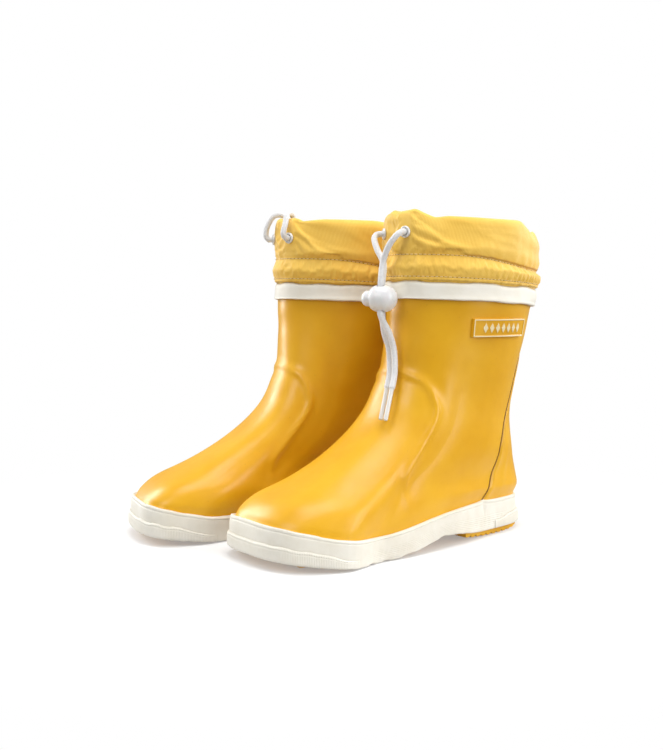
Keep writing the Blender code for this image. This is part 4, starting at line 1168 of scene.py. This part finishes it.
def drawstring_routes():
    """The free ends' routes, as in the part: side, end, points in the boot's own millimetres."""
    lock, drop = np.array(LOCKS["left"][0]), np.array((0.0, 0.0, 11.0))
    beside = CORD / 2 + 0.1
    in_lock = np.array((0.6, 0.8, 0.0)) * beside
    in_tails = np.array((1.0, 0.1, 0.0)) * (beside + 0.6)
    starts = {"outer": [(10.7, 115.2, 209.2), (9.4, 118.6, 206.2), (5.0, 120.8, 199.5), (0.9, 121.6, 190.0)],
              "inner": [(-17.2, 112.6, 209.0), (-15.6, 115.6, 205.8), (-10.6, 117.2, 199.0),
                        (-3.8, 117.2, 189.0)]}
    tail = [(1.0, 118.2, 143.0), (1.4, 114.4, 131.6), (3.6, 115.6, 116.5), (6.5, 120.4, 106.4)]
    for end, sign in (("outer", 1.0), ("inner", -1.0)):
        at = lock + sign * in_lock
        leave = [eyelet_exit(EYELETS[end], along) for along in (-2.4, 2.2)]
        below = [np.array(p) + sign * in_tails for p in tail]
        yield "left", end, leave + starts[end] + [at + drop, at, at - drop] + below
    lock, drop = np.array(LOCKS["right"][0]), np.array((0.0, 0.0, 12.0))
    for end, sign, bulge in (("outer", 1.0, 6.0), ("inner", -1.0, 5.0)):
        a = math.radians(EYELETS[end])
        at = lock + np.array((sign * beside, 0.0, 0.0))
        leave = [eyelet_exit(EYELETS[end], along) for along in (-2.4, 3.0, 4.0)] + [skin(9.80, a, 7.2)]
        over = [skin(9.92, a, bulge) + (0, 0, 1.0), skin(10.0, a * 0.9, 1.0) + (0, 0, 4.4),
                skin(10.0, a * 0.7, -6.5) + (0, 0, 4.2), skin(9.9, a * 0.45, -13.0)]
        down = [at + drop * 1.7, at + drop * 0.9, at, at - drop, at - drop * 2.4, at - drop * 3.2]
        yield "right", end, leave + over + down


# how far forward the cord is still held by the boot, and where it hangs free
BEND_AT = {"left": (106.5, 111.8), "right": (104.0, 96.5)}


def drawstring(side, end, route):
    centres = place(side, smooth_route(route, 0.35)) / MM
    cord = plaited_tube(f"{side}_cord_{end}", centres, CORD, "white_cord")
    held, free = BEND_AT[side]
    tuple(place(side, np.array((0.0, held, 0.0))))
    tuple(place(side, np.array((0.0, free, 0.0))))
    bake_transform(cord)
    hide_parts(f"{side}_drawstring_{end}")
    axis = centres[-1] - centres[-8]
    axis = axis / np.linalg.norm(axis)
    r = AGLET / 2
    profile = [(0.0, AGLET_LENGTH), (r * 0.55, AGLET_LENGTH), (r * 0.85, AGLET_LENGTH - 0.3),
               (r, AGLET_LENGTH - 1.2), (r * 0.98, AGLET_LENGTH * 0.5), (r * 1.02, 1.5), (r * 1.06, 0.3),
               (r, -0.4), (0.0, -0.4)]
    tip = lathe(f"{side}_cord_tip_{end}", profile, (centres[-1] + axis * 0.2) * MM, axis,
                "clear_plastic", steps=28)
    finish_piece(tip, f"{side}_drawstring", [f"{side}_aglet_{end}"])
    length = float(run_along(centres)[-1]) * MM


def slot_box(centre, cords, button, low, high, across):
    bpy.ops.mesh.primitive_cube_add(size=1.0)
    made = bpy.context.object
    made.data.transform(Matrix.Diagonal(((high - low) * MM, across * MM, 40 * MM, 1.0)))
    turn = Matrix((button, cords.cross(button), cords)).transposed().to_4x4()
    made.data.transform(Matrix.Translation(centre + button * (low + high) / 2 * MM) @ turn)
    soften = made.modifiers.new("round", "BEVEL")
    soften.width = 1.1 * MM
    soften.segments = 4
    return made


def bore(centre, axis, radius, low, high):
    return lathe("bore", [(0.0, high), (radius, high), (radius, low), (0.0, low)], centre, axis,
                 "white_plastic")


def cord_lock(side):
    """A ball with flats where the cords pass, and a domed button in its front."""
    point, direction = LOCKS[side]
    centre = Vector(place(side, np.array(point)))
    cords, button = Vector((0.0, 0.0, 1.0)), Vector(place_direction(side, direction))
    radius, front, back = 9.1, 1.0, -1.5
    rim = math.acos(6.6 / radius)
    arc = [(radius * math.cos(a), front + radius * math.sin(a)) for a in np.linspace(rim, 0.0, 16)]
    lip = [(0.0, 7.0), (5.6, 7.0), (6.0, 7.35), (6.35, 7.4)]
    rear = [(radius * math.cos(a), back + radius * math.sin(a)) for a in np.linspace(0.0, -math.pi / 2, 24)]
    rear[-1] = (0.0, back - radius)
    ball = lathe(f"{side}_lock_ball", lip + arc + rear, centre, button, "white_plastic", steps=72)
    cut_away(ball, [bore(centre, button, 5.5, -6.3, 20.0), bore(centre, button, 3.5, -8.9, 0.0),
                    slot_box(centre, cords, button, -2.5, 2.5, 9.2)])
    finish_piece(ball, f"{side}_cord_lock", [f"{side}_cord_lock_body"])
    r = 5.2
    dome = [(r * math.sin(a), 9.6 + 4.2 * math.cos(a)) for a in np.linspace(0.0, math.pi / 2, 18)]
    dome[0] = (0.0, 13.8)
    stem = dome + [(r, 8.0), (r - 0.25, 7.8), (r - 0.25, -3.6), (r - 0.6, -3.9), (0.0, -3.9)]
    plunger = lathe(f"{side}_lock_plunger", stem, centre, button, "white_plastic", steps=64)
    cut_away(plunger, [slot_box(centre, cords, button, -2.4, 4.7, 9.0)])
    finish_piece(plunger, f"{side}_lock_button", [f"{side}_cord_lock_button"])


# ---------------------------------------------------------------- the two boots
HIDDEN_NODES = {"midsole": "foam", "insole_board": "board", "tunnel_cord": "white_cord",
                "washer_outer": "painted_metal", "washer_inner": "painted_metal",
                "cord_lock_spring": "spring_steel"}


def boot(side):
    foxing(side)
    guard(side, "toe_guard", 0.0, math.radians(64), 0.42, 71)
    guard(side, "heel_guard", math.pi, math.radians(52), 0.42, 72)
    sole_sheet(side, f"{side}_sole_plate", FOXING + 0.4, SOLE_INTO_FOXING, SOLE, "yellow_rubber", [])
    sole_sheet(side, f"{side}_footbed_pad", FOXING + RUBBER + PLATE_GAP + 2.4, FOOTBED_TOP, FOOTBED,
               "footbed_felt", [f"{side}_footbed"])
    tread(side)
    upper(side)
    counter(side)
    heel_tab(side)
    badge(side)
    top_band(side)
    collar(side)
    lining(side)
    for end in EYELETS:
        eyelet(side, end)
    cord_lock(side)
    for node, material in HIDDEN_NODES.items():
        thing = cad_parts[f"{side}_{node}"]
        thing.data.materials.clear()
        thing.data.materials.append(MATERIALS[material])


def floor():
    """White paper that catches the soft shadows and fades out into the white cove."""
    bpy.ops.mesh.primitive_plane_add(size=8.0)
    ground = bpy.context.object
    ground.name = "studio_floor"
    s = Shader("studio_floor", (0.90, 0.90, 0.90), 0.8, Specular_IOR_Level=0.1)
    away = s.add("ShaderNodeVectorMath", {"operation": "LENGTH"}, i0=s.where()).outputs["Value"]
    clear = s.add("ShaderNodeBsdfTransparent")
    fade = s.add("ShaderNodeMapRange", {"interpolation_type": "SMOOTHSTEP"}, i0=away, i1=0.14, i2=0.36,
                 i3=0.30)
    both = s.add("ShaderNodeMixShader", i0=fade.outputs[0], i1=s.surface.outputs[0], i2=clear.outputs[0])
    s.tree.links.new(both.outputs[0], s.tree.nodes["Material Output"].inputs["Surface"])
    ground.data.materials.append(s.material)


def aim_along(thing, where, direction):
    thing.location = where
    thing.rotation_euler = direction.to_track_quat("-Z", "Y").to_euler()


def light(name, where, aim, size, power):
    lamp = bpy.data.lights.new(name, "AREA")
    lamp.shape = "RECTANGLE"
    lamp.size, lamp.size_y = size
    lamp.energy = power
    aim_along(linked(name, lamp), where, Vector(aim) - Vector(where))


def studio():
    """A white cove, dim behind the lights but seen white by the camera, and five softboxes."""
    world = bpy.data.worlds.new("studio")
    world.use_nodes = True
    tree = world.node_tree
    ray = tree.nodes.new("ShaderNodeTexCoord")
    parts = tree.nodes.new("ShaderNodeSeparateXYZ")
    ramp = tree.nodes.new("ShaderNodeMapRange")
    ramp.interpolation_type = "SMOOTHSTEP"
    for socket, value in ((1, 0.20), (2, 0.55), (3, 0.26), (4, 0.42)):
        ramp.inputs[socket].default_value = value
    seen = tree.nodes.new("ShaderNodeLightPath")
    brighter = tree.nodes.new("ShaderNodeMath")
    brighter.operation = "MAXIMUM"
    tree.links.new(ray.outputs["Generated"], parts.inputs[0])
    tree.links.new(parts.outputs["Z"], ramp.inputs[0])
    tree.links.new(ramp.outputs[0], brighter.inputs[0])
    tree.links.new(seen.outputs["Is Camera Ray"], brighter.inputs[1])
    tree.links.new(brighter.outputs[0], tree.nodes["Background"].inputs["Strength"])
    tree.nodes["Background"].inputs["Color"].default_value = (1.0, 1.0, 1.0, 1.0)
    bpy.context.scene.world = world
    bpy.context.scene.view_settings.view_transform = "Standard"
    middle = (0.0, 0.0, 0.1)
    light("top_softbox", (0.20, -0.10, 1.25), middle, (0.8, 0.8), 9.0)
    light("left_softbox", (-1.0, -0.45, 0.50), middle, (0.35, 0.8), 9.5)
    light("front_softbox", (0.25, -1.15, 0.85), middle, (0.5, 0.5), 5.0)
    light("right_softbox", (1.05, 0.35, 0.45), middle, (0.4, 0.8), 5.8)
    light("back_rim", (0.30, 1.05, 0.50), middle, (0.7, 0.6), 8.0)


def camera():
    """Where the pair is seen from: a low three-quarter view from the left boot's front and side."""
    data = bpy.data.cameras.new("camera")
    data.sensor_width = 36.0
    data.lens = 48.4
    thing = linked("camera", data)
    yaw, pitch = math.radians(53.24), math.radians(4.10)
    look = Vector((-math.sin(yaw) * math.cos(pitch), math.cos(yaw) * math.cos(pitch), -math.sin(pitch)))
    aim_along(thing, (0.5763, -0.4324, 0.1632), look)
    bpy.context.scene.camera = thing


camera()
for cord_side, cord_end, cord_route in drawstring_routes():
    drawstring(cord_side, cord_end, cord_route)
for boot_side in STANDS:
    boot(boot_side)
floor()
studio()
